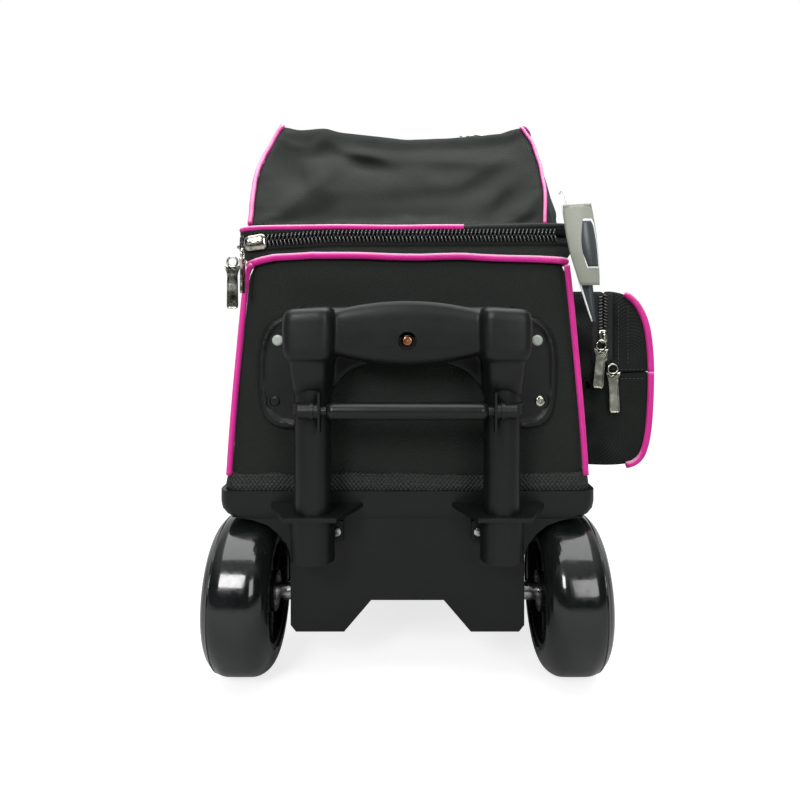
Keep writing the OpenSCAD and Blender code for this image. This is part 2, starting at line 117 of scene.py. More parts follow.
def make_studio():
    scene = bpy.context.scene
    world = bpy.data.worlds.new("studio")
    world.use_nodes = True
    tree = world.node_tree
    background = tree.nodes["Background"]
    background.inputs["Strength"].default_value = 1.0

    def node(kind, *inputs, operation=None):
        """A world node with its first inputs linked or set."""
        made = tree.nodes.new(kind)
        if operation:
            made.operation = operation
        for socket, value in zip(made.inputs, inputs):
            if isinstance(value, bpy.types.NodeSocket):
                tree.links.new(value, socket)
            else:
                socket.default_value = value
        return made

    # A white backdrop and ceiling, with a dim room on the near side for the dark plastics to reflect
    direction = node("ShaderNodeTexCoord").outputs["Generated"]
    parts = node("ShaderNodeSeparateXYZ", direction).outputs
    near = node("ShaderNodeMapRange", parts["Y"], -0.1, 0.5, 0.015, 0.9).outputs[0]
    above = node("ShaderNodeMapRange", parts["Z"], 0.4, 0.9, 0.0, 0.75).outputs[0]
    level = node("ShaderNodeMath", near, above, operation="MAXIMUM").outputs[0]
    seen = node("ShaderNodeLightPath").outputs["Is Camera Ray"]
    shown = node("ShaderNodeMath", level, seen, operation="MAXIMUM").outputs[0]
    tree.links.new(shown, background.inputs["Color"])
    scene.world = world
    scene.view_settings.view_transform = "Standard"
    area_light("overhead", (0, 60, 1500), (0, 150, 200), (1.5, 1.5), 30)
    area_light("window", (-420, -1000, 760), (-60, 0, 120), (0.30, 0.36), 8)
    area_light("fill", (560, -1100, 620), (0, 0, 220), (0.45, 0.5), 5)
    bpy.ops.mesh.primitive_plane_add(size=14, location=(0, 0, -0.0004))
    floor = bpy.context.object
    floor.name = "floor"
    material = bpy.data.materials.new("floor")
    material.use_nodes = True
    shader = material.node_tree.nodes["Principled BSDF"]
    shader.inputs["Base Color"].default_value = (0.42, 0.42, 0.42, 1)
    shader.inputs["Roughness"].default_value = 0.6
    shader.inputs["Specular IOR Level"].default_value = 0.1
    shader.inputs["Emission Color"].default_value = (1, 1, 1, 1)
    # The floor is cut out to white in the photograph, but it reflects little in the dark plastics
    path = material.node_tree.nodes.new("ShaderNodeLightPath")
    glow = material.node_tree.nodes.new("ShaderNodeMath")
    glow.operation = "MULTIPLY"
    glow.inputs[1].default_value = 0.75
    material.node_tree.links.new(path.outputs["Is Camera Ray"], glow.inputs[0])
    material.node_tree.links.new(glow.outputs[0], shader.inputs["Emission Strength"])
    floor.data.materials.append(material)


# ---- Materials ----


class Tree:
    """A small helper for building one material's nodes."""

    def __init__(self, name):
        self.material = bpy.data.materials.new(name)
        self.material.use_nodes = True
        self.tree = self.material.node_tree
        self.shader = self.tree.nodes["Principled BSDF"]

    def add(self, kind, inputs=None, **settings):
        node = self.tree.nodes.new(kind)
        for key, value in settings.items():
            setattr(node, key, value)
        for key, value in (inputs or {}).items():
            self.plug(value, node.inputs[key])
        return node

    def plug(self, value, socket):
        if isinstance(value, bpy.types.NodeSocket):
            self.tree.links.new(value, socket)
        elif isinstance(value, bpy.types.Node):
            self.tree.links.new(value.outputs[0], socket)
        else:
            socket.default_value = value

    def math(self, operation, a, b=0.0, c=0.0):
        return self.add("ShaderNodeMath", {0: a, 1: b, 2: c}, operation=operation).outputs[0]

    def noise(self, vector, scale, detail=3.0, rough=0.55):
        inputs = {"Vector": vector, "Scale": scale, "Detail": detail, "Roughness": rough}
        return self.add("ShaderNodeTexNoise", inputs).outputs["Fac"]

    def ramp(self, factor, low, high, dark, light):
        """Colour from dark to light as factor goes from low to high."""
        node = self.add("ShaderNodeValToRGB", {"Fac": factor})
        node.color_ramp.elements[0].position = low
        node.color_ramp.elements[1].position = high
        node.color_ramp.elements[0].color = (*dark, 1)
        node.color_ramp.elements[1].color = (*light, 1)
        return node.outputs["Color"]

    def span(self, factor, low, high, start, end):
        inputs = {"Value": factor, "From Min": low, "From Max": high, "To Min": start, "To Max": end}
        return self.add("ShaderNodeMapRange", inputs).outputs["Result"]

    def object_place(self):
        return self.add("ShaderNodeTexCoord").outputs["Object"]

    def cloth_place(self):
        return self.add("ShaderNodeUVMap", uv_map=CLOTH_UV).outputs["UV"]

    def bump(self, height, distance, strength=1.0):
        inputs = {"Height": height, "Distance": distance, "Strength": strength}
        return self.add("ShaderNodeBump", inputs).outputs["Normal"]

    def set(self, **values):
        names = {
            "color": "Base Color", "rough": "Roughness", "metal": "Metallic", "normal": "Normal",
            "sheen": "Sheen Weight", "sheen_rough": "Sheen Roughness", "coat": "Coat Weight",
            "coat_rough": "Coat Roughness", "specular": "Specular IOR Level",
        }
        for key, value in values.items():
            socket = self.shader.inputs[names[key]]
            if isinstance(value, tuple):
                value = (*value, 1) if len(value) == 3 and key == "color" else value
            self.plug(value, socket)
        return self.material


CLOTH_UV = "cloth"
TAU = 2 * math.pi


def weave(tree, pitch_mm, angle=45):
    """Height of crossing threads, from 0 to 1, over the cloth's own coordinates."""
    turn = (0, 0, math.radians(angle))
    turned = tree.add("ShaderNodeMapping", {"Vector": tree.cloth_place(), "Rotation": turn})
    parts = tree.add("ShaderNodeSeparateXYZ", {"Vector": turned.outputs[0]})
    rate = TAU * 1000 / pitch_mm
    ridge = tree.math("SINE", tree.math("MULTIPLY", parts.outputs["X"], rate))
    knot = tree.math("SINE", tree.math("MULTIPLY", parts.outputs["Y"], rate * 0.8))
    both = tree.math("MULTIPLY_ADD", tree.math("MULTIPLY", ridge, knot), 0.3, tree.math("MULTIPLY", ridge, 0.7))
    return tree.math("MULTIPLY_ADD", both, 0.5, 0.5)


def fabric_material(name, dark, light, pitch_mm=1.5, bump_mm=0.30, sheen=0.03):
    tree = Tree(name)
    threads = weave(tree, pitch_mm)
    place = tree.object_place()
    dust = tree.noise(place, 38.0, 4.0, 0.6)
    fuzz = tree.noise(place, 900.0, 2.0)
    tone = tree.math("MULTIPLY_ADD", dust, 0.35, tree.math("MULTIPLY", threads, 0.75))
    color = tree.ramp(tone, 0.1, 1.0, dark, light)
    height = tree.math("MULTIPLY_ADD", fuzz, 0.25, threads)
    return tree.set(
        color=color, rough=tree.span(dust, 0.2, 0.8, 0.62, 0.80), specular=0.12, sheen=sheen, sheen_rough=0.45,
        normal=tree.bump(height, bump_mm / 1000),
    )


def ribbed_material(name, dark, light, pitch_mm, bump_mm, rough=0.7):
    """Webbing and binding: ribs across the strip, with a finer weave over them."""
    tree = Tree(name)
    parts = tree.add("ShaderNodeSeparateXYZ", {"Vector": tree.cloth_place()})
    rate = TAU * 1000 / pitch_mm
    rib = tree.math("SINE", tree.math("MULTIPLY", parts.outputs["X"], rate))
    cross = tree.math("SINE", tree.math("MULTIPLY", parts.outputs["Y"], rate * 0.8))
    knots = tree.math("MULTIPLY_ADD", tree.math("MULTIPLY", rib, cross), 0.5, 0.5)
    flecks = tree.noise(tree.object_place(), 420.0, 3.0)
    tone = tree.math("MULTIPLY_ADD", flecks, 0.5, tree.math("MULTIPLY", knots, 0.7))
    return tree.set(
        color=tree.ramp(tone, 0.2, 0.95, dark, light), rough=rough, specular=0.35,
        normal=tree.bump(knots, bump_mm / 1000),
    )


PIPING_PITCH_MM = 1.1


def piping_material():
    """Pink cord cover: fine threads that wind round the cord, with a painted highlight that turns its upper side
    pale.
    """
    tree = Tree("piping")
    parts = tree.add("ShaderNodeSeparateXYZ", {"Vector": tree.cloth_place()})
    slant = tree.math("ADD", parts.outputs["X"], tree.math("MULTIPLY", parts.outputs["Y"], 0.7))
    wave = tree.math("SINE", tree.math("MULTIPLY", slant, TAU * 1000 / PIPING_PITCH_MM))
    thread = tree.math("MULTIPLY_ADD", wave, 0.5, 0.5)
    soil = tree.noise(tree.object_place(), 60.0, 3.0)
    tone = tree.math("MULTIPLY_ADD", soil, 0.4, tree.math("MULTIPLY", thread, 0.6))
    pink = tree.ramp(tone, 0.1, 0.9, (0.56, 0.006, 0.21), (0.80, 0.022, 0.36))
    # Painted highlight: the more the cord faces up, the more its pink is mixed towards pale pink, as if lit from
    # above.
    upward = tree.add("ShaderNodeSeparateXYZ", {"Vector": tree.add("ShaderNodeNewGeometry").outputs["Normal"]})
    painted_top_highlight = tree.span(upward.outputs["Z"], 0.25, 0.95, 0.0, 0.8)
    mix = tree.add("ShaderNodeMix", data_type="RGBA")
    tree.plug(painted_top_highlight, mix.inputs[0])
    tree.plug(pink, mix.inputs[6])
    tree.plug((0.93, 0.62, 0.76, 1), mix.inputs[7])
    return tree.set(
        color=mix.outputs[2], rough=0.5, specular=0.4, sheen=0.1, sheen_rough=0.4,
        normal=tree.bump(thread, 0.0003),
    )


def moulded_material(name, dark, light, rough_low, rough_high, grain_mm=0.05, coat=0.0, specular=0.26):
    """Moulded plastic: fine grain, faint scuffs and uneven gloss."""
    tree = Tree(name)
    place = tree.object_place()
    grain = tree.noise(place, 1500.0, 2.0)
    broad = tree.noise(place, 22.0, 4.0, 0.6)
    stretched = tree.add("ShaderNodeMapping", {"Vector": place, "Scale": (1, 1, 7)}).outputs[0]
    scuffs = tree.noise(stretched, 90.0, 5.0, 0.7)
    uneven = tree.math("MULTIPLY_ADD", scuffs, 0.4, tree.math("MULTIPLY", broad, 0.6))
    return tree.set(
        color=tree.ramp(uneven, 0.3, 0.75, dark, light),
        rough=tree.span(uneven, 0.3, 0.7, rough_low, rough_high),
        specular=specular, coat=coat, coat_rough=0.12, normal=tree.bump(grain, grain_mm / 1000, 0.7),
    )


def metal_material(name, dark, light, rough_low, rough_high, brushed=False):
    tree = Tree(name)
    place = tree.object_place()
    if brushed:
        place = tree.add("ShaderNodeMapping", {"Vector": place, "Scale": (1, 1, 18)}).outputs[0]
    mottle = tree.noise(place, 160.0, 4.0, 0.6)
    fine = tree.noise(place, 1400.0, 2.0)
    return tree.set(
        color=tree.ramp(mottle, 0.35, 0.7, dark, light), metal=1.0,
        rough=tree.span(mottle, 0.3, 0.7, rough_low, rough_high), normal=tree.bump(fine, 0.00003, 0.6),
    )


def tyre_material():
    """Smoke-tinted polyurethane: dark, glossy and slightly cloudy."""
    tree = Tree("tyre")
    place = tree.object_place()
    cloud = tree.noise(place, 26.0, 5.0, 0.6)
    marks = tree.noise(place, 240.0, 5.0, 0.7)
    return tree.set(
        color=tree.ramp(cloud, 0.3, 0.75, (0.003, 0.0035, 0.0035), (0.010, 0.012, 0.012)),
        rough=tree.span(marks, 0.35, 0.75, 0.09, 0.26), specular=0.4, coat=0.25, coat_rough=0.05,
        normal=tree.bump(cloud, 0.0003, 0.5),
    )


def make_materials():
    """Every material by name. Each row starts with the darkest and the lightest colour."""
    tables = (
        (fabric_material, {
            "body_fabric": ((0.0035, 0.0045, 0.0038), (0.020, 0.025, 0.021)),
            "gusset_fabric": ((0.003, 0.004, 0.0035), (0.016, 0.020, 0.017), 1.6, 0.35),
            "lining": ((0.020, 0.021, 0.022), (0.050, 0.052, 0.054), 1.6, 0.1, 0.2),
        }),
        (ribbed_material, {
            "webbing": ((0.0025, 0.003, 0.003), (0.022, 0.026, 0.023), 3.2, 0.8),
            "tape": ((0.004, 0.005, 0.005), (0.016, 0.018, 0.017), 1.0, 0.15),
            "thread": ((0.010, 0.012, 0.011), (0.045, 0.050, 0.046), 0.6, 0.1),
        }),
        (moulded_material, {
            "black_moulding": ((0.003, 0.0035, 0.0035), (0.007, 0.008, 0.0078), 0.34, 0.48),
            "grip_sleeve": ((0.004, 0.0045, 0.0045), (0.008, 0.009, 0.0088), 0.24, 0.36),
            "hub_plastic": ((0.004, 0.0045, 0.005), (0.009, 0.010, 0.010), 0.20, 0.34),
            "tube_paint": ((0.003, 0.0035, 0.0035), (0.007, 0.008, 0.0078), 0.30, 0.42, 0.03),
            "bush": ((0.02, 0.02, 0.02), (0.035, 0.035, 0.035), 0.35, 0.5),
            "zipper_coil": ((0.006, 0.0065, 0.0065), (0.014, 0.015, 0.0145), 0.20, 0.32, 0.02, 0.6, 0.6),
            "board": ((0.02, 0.02, 0.02), (0.035, 0.035, 0.035), 0.5, 0.7),
            "foam": ((0.035, 0.036, 0.038), (0.07, 0.072, 0.075), 0.8, 0.95, 0.6),
            "foot_rubber": ((0.008, 0.008, 0.008), (0.016, 0.016, 0.016), 0.6, 0.8),
            "tag_card": ((0.20, 0.21, 0.175), (0.26, 0.275, 0.23), 0.3, 0.42, 0.02),
            "tag_panel": ((0.030, 0.036, 0.040), (0.045, 0.052, 0.057), 0.25, 0.35, 0.02),
            "tag_white": ((0.70, 0.71, 0.70), (0.80, 0.80, 0.79), 0.35, 0.5, 0.02),
            "pale_resin": ((0.34, 0.38, 0.34), (0.46, 0.50, 0.46), 0.15, 0.25, 0.02),
        }),
        (metal_material, {
            "nickel": ((0.30, 0.31, 0.24), (0.66, 0.66, 0.58), 0.10, 0.24),
            "steel": ((0.40, 0.41, 0.40), (0.62, 0.62, 0.60), 0.22, 0.38),
            "tube_metal": ((0.48, 0.49, 0.50), (0.62, 0.63, 0.64), 0.25, 0.38, True),
            "copper": ((0.30, 0.13, 0.07), (0.50, 0.24, 0.13), 0.2, 0.35),
        }),
    )
    made = {name: maker(name, *values) for maker, table in tables for name, values in table.items()}
    return {**made, "piping": piping_material(), "tyre": tyre_material()}


# ---- Mesh tools ----


def put(name, points, faces, material, body, uvs=None, smooth=True):
    """A mesh piece from bag millimetres. uvs holds one (u, v) in metres per face corner."""
    mesh = bpy.data.meshes.new(name)
    mesh.from_pydata([tuple(p) for p in to_row(points)], [], [tuple(f) for f in faces])
    if uvs is not None:
        layer = mesh.uv_layers.new(name=CLOTH_UV)
        layer.data.foreach_set("uv", np.asarray(uvs, float).ravel())
    mesh.validate()
    mesh.materials.append(MATERIALS[material])
    piece = bpy.data.objects.new(name, mesh)
    bpy.context.scene.collection.objects.link(piece)
    if smooth:
        mesh.shade_smooth()
    if body is not None:
        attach(piece, body)
    return piece


def grid(rows, wrap):
    """Quads over rows of points (rows x columns x 3), with cloth coordinates from the lengths along them."""
    rows = np.asarray(rows, float)
    count_v, count_u = rows.shape[:2]
    ring = np.concatenate([rows, rows[:, :1]], axis=1) if wrap else rows
    along_u = np.linalg.norm(np.diff(ring, axis=1), axis=2).mean(axis=0)
    along_v = np.linalg.norm(np.diff(rows, axis=0), axis=2).mean(axis=1)
    u = np.concatenate([[0], np.cumsum(along_u)]) / 1000
    v = np.concatenate([[0], np.cumsum(along_v)]) / 1000
    faces, uvs = [], []
    for j in range(count_v - 1):
        for i in range(count_u if wrap else count_u - 1):
            k = (i + 1) % count_u
            faces.append((j * count_u + i, j * count_u + k, (j + 1) * count_u + k, (j + 1) * count_u + i))
            uvs += [(u[i], v[j]), (u[i + 1], v[j]), (u[i + 1], v[j + 1]), (u[i], v[j + 1])]
    return rows.reshape(-1, 3), faces, uvs


def put_grid(name, rows, wrap, material, body, thickness=0.0):
    points, faces, uvs = grid(rows, wrap)
    piece = put(name, points, faces, material, body, uvs)
    if thickness:
        solid = piece.modifiers.new("thickness", "SOLIDIFY")
        solid.thickness = thickness / 1000
        solid.offset = -1
    return piece


def perimeter(x0, x1, y0, y1, r, counts=(44, 84, 7)):
    """Points and outward normals round a rectangle with round corners: from the middle of the rear edge
    towards +X, then forward, across the front and back along the left side."""
    nx, ny, nc = counts
    xm = (x0 + x1) / 2
    points, normals = [], []

    def run(a, b, n, normal):
        for i in range(n):
            t = i / n
            points.append((a[0] + (b[0] - a[0]) * t, a[1] + (b[1] - a[1]) * t))
            normals.append(normal)

    def turn(cx, cy, start):
        for i in range(nc):
            a = math.radians(start + 90 * i / nc)
            points.append((cx + r * math.cos(a), cy + r * math.sin(a)))
            normals.append((math.cos(a), math.sin(a)))

    run((xm, y0), (x1 - r, y0), nx // 2, (0, -1))
    turn(x1 - r, y0 + r, -90)
    run((x1, y0 + r), (x1, y1 - r), ny, (1, 0))
    turn(x1 - r, y1 - r, 0)
    run((x1 - r, y1), (x0 + r, y1), nx, (0, 1))
    turn(x0 + r, y1 - r, 90)
    run((x0, y1 - r), (x0, y0 + r), ny, (-1, 0))
    turn(x0 + r, y0 + r, 180)
    run((x0 + r, y0), (xm, y0), nx // 2, (0, -1))
    return np.array(points), np.array(normals)


def distances(path):
    """How far along a path each of its points lies."""
    return np.concatenate([[0], np.cumsum(np.linalg.norm(np.diff(path, axis=0), axis=1))])


def resample(path, step, closed=False):
    """The path again at equal steps of about step millimetres."""
    path = np.asarray(path, float)
    if closed:
        path = np.vstack([path, path[:1]])
    lengths = distances(path)
    count = max(2, int(round(lengths[-1] / step)))
    stations = np.linspace(0, lengths[-1], count + 1)
    out = np.column_stack([np.interp(stations, lengths, path[:, i]) for i in range(3)])
    return out[:-1] if closed else out


def smooth_path(points, rounds=3):
    """Corner cutting, which turns a few given points into a soft curve."""
    points = np.asarray(points, float)
    for _ in range(rounds):
        cut = [points[0]]
        for a, b in zip(points[:-1], points[1:]):
            cut += [a * 0.75 + b * 0.25, a * 0.25 + b * 0.75]
        points = np.array(cut + [points[-1]])
    return points


def sweep_rows(path, radius, sides=12, closed=False):
    """Rings round a path. radius is a number, or one per point."""
    path = np.asarray(path, float)
    count = len(path)
    radius = np.broadcast_to(np.asarray(radius, float), (count,))
    ahead = np.roll(path, -1, axis=0) - path if closed else np.gradient(path, axis=0)
    behind = path - np.roll(path, 1, axis=0) if closed else ahead
    tangents = ahead + behind
    tangents /= np.linalg.norm(tangents, axis=1)[:, None]
    side = np.cross(tangents[0], (0.0, 0.0, 1.0))
    if np.linalg.norm(side) < 0.1:
        side = np.cross(tangents[0], (1.0, 0.0, 0.0))
    rows = []
    for i in range(count):
        side = side - tangents[i] * side.dot(tangents[i])
        side /= np.linalg.norm(side)
        up = np.cross(tangents[i], side)
        angles = np.arange(sides) * TAU / sides
        rows.append(path[i] + radius[i] * (np.cos(angles)[:, None] * side + np.sin(angles)[:, None] * up))
    return rows


def tube_piece(name, path, radius, material, body, sides=12, closed=False, caps=True):
    """A tube along a path. The cloth u runs along it."""
    rows = np.array(sweep_rows(path, radius, sides, closed))
    count = len(rows)
    lengths = distances(np.vstack([path, path[:1]]))
    around = TAU * float(np.mean(radius)) / sides
    faces, uvs = [], []
    for i in range(count if closed else count - 1):
        j = (i + 1) % count
        for k in range(sides):
            m = (k + 1) % sides
            faces.append((i * sides + k, j * sides + k, j * sides + m, i * sides + m))
            a, b = lengths[i] / 1000, lengths[i + 1] / 1000
            c, d = k * around / 1000, (k + 1) * around / 1000
            uvs += [(a, c), (b, c), (b, d), (a, d)]
    if caps and not closed:
        for row, flip in ((0, False), (count - 1, True)):
            loop = [row * sides + k for k in range(sides)]
            faces.append(tuple(reversed(loop)) if flip else tuple(loop))
            uvs += [(0, 0)] * sides
    return put(name, rows.reshape(-1, 3), faces, material, body, uvs)


def many(name, template, places, material, body):
    """Copies of one small closed shape as a single mesh. places holds (origin, 3x3 axes)."""
    shape, shape_faces = template
    shape = np.asarray(shape, float)
    points, faces = [], []
    for origin, axes in places:
        start = len(points) * len(shape)
        points.append(shape @ np.asarray(axes, float) + np.asarray(origin, float))
        faces += [tuple(start + k for k in f) for f in shape_faces]
    return put(name, np.concatenate(points), faces, material, body)


def capsule(length, width, depth, rings=5, sides=8):
    """A rounded rod along its own X: length by width (Y) by depth (Z)."""
    points, faces = [(-length / 2, 0, 0)], []
    for i in range(rings):
        a = math.pi * (i + 0.5) / rings
        x = -length / 2 * math.copysign(abs(math.cos(a)) ** 0.6, math.cos(a))
        r = math.sin(a) ** 0.6
        points += [(x, r * width / 2 * math.cos(TAU * k / sides), r * depth / 2 * math.sin(TAU * k / sides))
                   for k in range(sides)]
    points.append((length / 2, 0, 0))
    for k in range(sides):
        m = (k + 1) % sides
        faces.append((0, 1 + m, 1 + k))
        for i in range(rings - 1):
            a, b = 1 + i * sides, 1 + (i + 1) * sides
            faces.append((a + k, a + m, b + m, b + k))
        faces.append((1 + (rings - 1) * sides + k, 1 + (rings - 1) * sides + m, len(points) - 1))
    return points, faces


def along(path, step, phase=0.0):
    """(point, unit tangent) at equal steps along a path."""
    path = resample(path, 1.0)
    lengths = distances(path)
    stations = np.arange(step * (0.5 + phase), lengths[-1], step)
    out = []
    for s in stations:
        i = min(int(np.searchsorted(lengths, s)), len(path) - 1)
        i = max(i, 1)
        t = (s - lengths[i - 1]) / max(lengths[i] - lengths[i - 1], 1e-9)
        direction = path[i] - path[i - 1]
        out.append((path[i - 1] + t * (path[i] - path[i - 1]), direction / np.linalg.norm(direction)))
    return out


def stitches(name, path, outward, body, pitch=3.6, size=(2.5, 0.8, 0.5)):
    """A row of thread stitches along a path, lying on a surface whose normal is outward."""
    places = []
    for point, tangent in along(path, pitch):
        normal = np.asarray(outward, float)
        normal = normal - tangent * normal.dot(tangent)
        normal /= np.linalg.norm(normal)
        places.append((point, [tangent, np.cross(normal, tangent), normal]))
    return many(name, capsule(*size, 3, 6), places, "thread", body)


def bump_field(x, y, z, scale, seed):
    """Smooth noise from about -1 to 1 at a point in millimetres."""
    return noise.noise(Vector((x / scale + seed, y / scale - seed, z / scale + 2 * seed)))


def lathe(name, profile, centre, side, material, body, steps=128):
    """A solid of revolution about X. profile holds (radius, distance outwards from centre) pairs, closed."""
    rows = []
    for r, out in profile:
        a = np.arange(steps) * TAU / steps
        rows.append(np.column_stack([
            np.full(steps, centre[0] + side * out), centre[1] + r * np.cos(a), centre[2] + r * np.sin(a)]))
    points, faces, uvs = grid(rows + rows[:1], True)
    if side < 0:
        faces = [tuple(reversed(f)) for f in faces]
        uvs = [uvs[i * 4 + k] for i in range(len(faces)) for k in (3, 2, 1, 0)]
    piece = put(name, points, faces, material, body, uvs)
    merge = bmesh.new()
    merge.from_mesh(piece.data)
    bmesh.ops.remove_doubles(merge, verts=merge.verts, dist=1e-6)
    merge.to_mesh(piece.data)
    merge.free()
    return piece


MATERIALS = {}

# ---- The bag's main sizes, as in the CAD ----

WALL_FOOT_Z, RIM_Z, SEAM_Z, LID_Z = 148, 152.0, 322.0, 350.0
REAR_Y, FRONT_Y = -20.0, 478.0
BAND_X, BAND_REAR, BAND_FRONT = 129.0, -16.0, 488.0
LOW_HALF, TOP_HALF = 134.0, 119.0
CORNER_R, BAND_R = 9.0, 16
TUBE_X, TUBE_Y, TUBE_BORE_R = 67, -45, 13.08
ZIP_PITCH = 2.95


def half_at(z):
    t = min(max((z - RIM_Z) / (SEAM_Z - RIM_Z), 0.0), 1.0)
    return LOW_HALF - (LOW_HALF - TOP_HALF) * t + 1.2 * math.sin(math.pi * t)


def rear_seam(x):
    """Height of the rear panel's top seam: it droops at the left corner and swells beside it."""
    return float(np.interp(x, [-120, -118, -109, -99, -71, 12, 42, 119],
                           [319, 320, 322.8, 325, 327, 325.4, 325.9, 322.8]))


def seam_height(x, y):
    t = min(max((y - REAR_Y) / 45, 0.0), 1.0)
    return rear_seam(x) * (1 - t) + 322.6 * t


def split_height(x, y):
    """Height of the zip's middle: it droops towards the rear left corner."""
    rear = float(np.interp(x, [-129, -107, -60, 129], [337.2, 338.6, 341.8, 342.6]))
    left = float(np.interp(y, [-16, 60, 488], [337.2, 341, 341.6]))
    if x < -126:
        return left
    t = min(max((y - BAND_REAR) / 30, 0.0), 1.0)
    return rear * (1 - t) + 341.6 * t


def body_plan(z, out, r):
    h = half_at(z) + out
    return perimeter(-h, h, REAR_Y - out, FRONT_Y + out, r + out)


def make_body():
    """Side walls: four puffed panels with creases and a pulled-in seam along their top."""
    rows = []
    for t in np.linspace(0, 1, 46):
        plan, normals = body_plan(WALL_FOOT_Z + t * (SEAM_Z - WALL_FOOT_Z), 0.0, CORNER_R)
        points = []
        for (x, y), (nx, ny) in zip(plan, normals):
            top = seam_height(x, y)
            z = WALL_FOOT_Z + t * (top - WALL_FOOT_Z)
            half = half_at(z)
            across = abs(x) / half if abs(ny) > 0.9 else abs(2 * y - REAR_Y - FRONT_Y) / (FRONT_Y - REAR_Y)
            puff = 2.2 * (1 - min(across, 1.0) ** 8) * math.sin(math.pi * min(t * 1.02, 1)) ** 0.6
            crease = 1.3 * bump_field(x, y, z * 1.6, 62, 3.1) + 0.6 * bump_field(x, y, z, 21, 8.4)
            low = math.exp(-((z - 166) / 9) ** 2) * 1.3 * bump_field(x * 2.4, y * 2.4, z, 34, 5.5)
            tuck = -3.0 * math.exp(-((1 - t) * 170 / 5.0) ** 2)
            push = puff + crease * min(1.0, 6 * t, 9 * (1 - t)) + low + tuck
            if ny < -0.9 and abs(x) < 113 and 196 < z < 298:
                push = min(push, 2.0)
            points.append((x + nx * push, y + ny * push, z))
        rows.append(points)
    body = put_grid("body_walls", rows, True, "body_fabric", "bag", thickness=2.2)
    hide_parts("body_shell")
    lining = []
    for inset, z, r in ((5.2, 318, 8), (5.2, 160, 8), (7, 150, 12)):
        plan, _ = body_plan(z, -inset, r + inset)
        lining.append([(x, y, z) for x, y in plan])
    for grow, z in ((1.5, 133), (0.4, 131.4)):
        plan, _ = perimeter(-80 - grow, 80 + grow, -15 - grow, 466 + grow, 4)
        lining.append([(x, y, z) for x, y in plan])
    rows = []
    for a, b, n in zip(lining[:-1], lining[1:], (26, 4, 8, 2)):
        a, b = np.array(a), np.array(b)
        rows += [a + (b - a) * k / n for k in range(n)]
    rows.append(np.array(lining[-1]))
    soft = []
    for row in rows:
        soft.append([(x, y, z + (0.0 if z > 300 else 1.1 * bump_field(x, y, z, 30, 9.0))) for x, y, z in row])
    turned_in = [row[::-1] for row in soft]
    inner = put_grid("body_lining", turned_in, True, "lining", "bag", thickness=0.8)


def make_body_trim():
    # Piping up the rear corners and across the rear panel's top
    near = half_at(315)
    ends = {
        "left": [(0.8 - near, REAR_Y - 0.8, 315), (-117.6, REAR_Y - 1, 318.2), (-115.4, REAR_Y - 1, 320.3)],
        "right": [(near - 0.3, REAR_Y - 0.8, 315), (118.9, REAR_Y - 0.8, 320)],
    }
    for side, name in ((-1, "left"), (1, "right")):
        path = [(side * (half_at(z) - 0.2), REAR_Y - 0.6 - 0.6 * math.sin(z / 23), z)
                for z in np.linspace(163.5, 312, 60)]
        path = resample(smooth_path(path + ends[name], 2), 2.2)
        tube_piece(f"rear_piping_{name}", path, 2.25, "piping", "bag", sides=14)
        path = [(side * (half_at(z) - 1.0), FRONT_Y + 0.3, z) for z in np.linspace(153, 321, 60)]
        tube_piece(f"front_piping_{name}", path, 2.25, "piping", "bag", sides=12)
    plan, normals = perimeter(-119.4, 119.4, REAR_Y - 0.4, FRONT_Y + 0.4, 9, (120, 150, 10))
    path = [(x + nx * 0.6, y + ny * 0.6, seam_height(x, y) + 0.5 + 0.25 * math.sin(x / 11 + y / 17))
            for (x, y), (nx, ny) in zip(plan, normals)]
    tube_piece("top_seam_piping", np.array(path), 2.6, "piping", "bag", sides=16, closed=True)

    # Woven hem binding above the tray, puckered by its stitching
    rows = []
    shape = ((1.0, 150.5), (3.2, 152.2), (3.6, 156), (3.3, 160), (2.6, 163.6), (0.6, 165.0))
    for k, (out, z) in enumerate(shape):
        plan, normals = perimeter(-LOW_HALF, LOW_HALF, REAR_Y, FRONT_Y, 9, (150, 150, 8))
        points = []
        for (x, y), (nx, ny) in zip(plan, normals):
            lift = 1.6 * bump_field(x, y, 0, 34, 4.2) + 1.1 * bump_field(x, y, 0, 12, 6.6)
            push = out + 0.8 * bump_field(x, y, k * 14, 9, 1.7)
            grow = (RIM_Z - z) * 0.088
            points.append((x + nx * (push + grow), y + ny * push, z + lift * (k / 5)))
        rows.append(points)
    hem = put_grid("hem_binding", rows, True, "webbing", "bag", thickness=1.2)
    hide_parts("base_binding")
    for level in (1.4, 3.6):
        plan, normals = perimeter(-LOW_HALF - 3.3, LOW_HALF + 3.3, REAR_Y - 3.7, FRONT_Y + 3.7, 12, (90, 90, 8))
        path = [(x, y, 152.5 + level * 3.0 + 1.1 * bump_field(x, y, 0, 34, 4.2)) for x, y in plan]
        rear = np.array([p for p in path if p[1] < -19])
        rear = rear[np.argsort(rear[:, 0])]
        stitches(f"hem_stitches_{int(level)}", rear, (0, -1, 0), "bag", 4.0, (2.8, 0.9, 0.6))


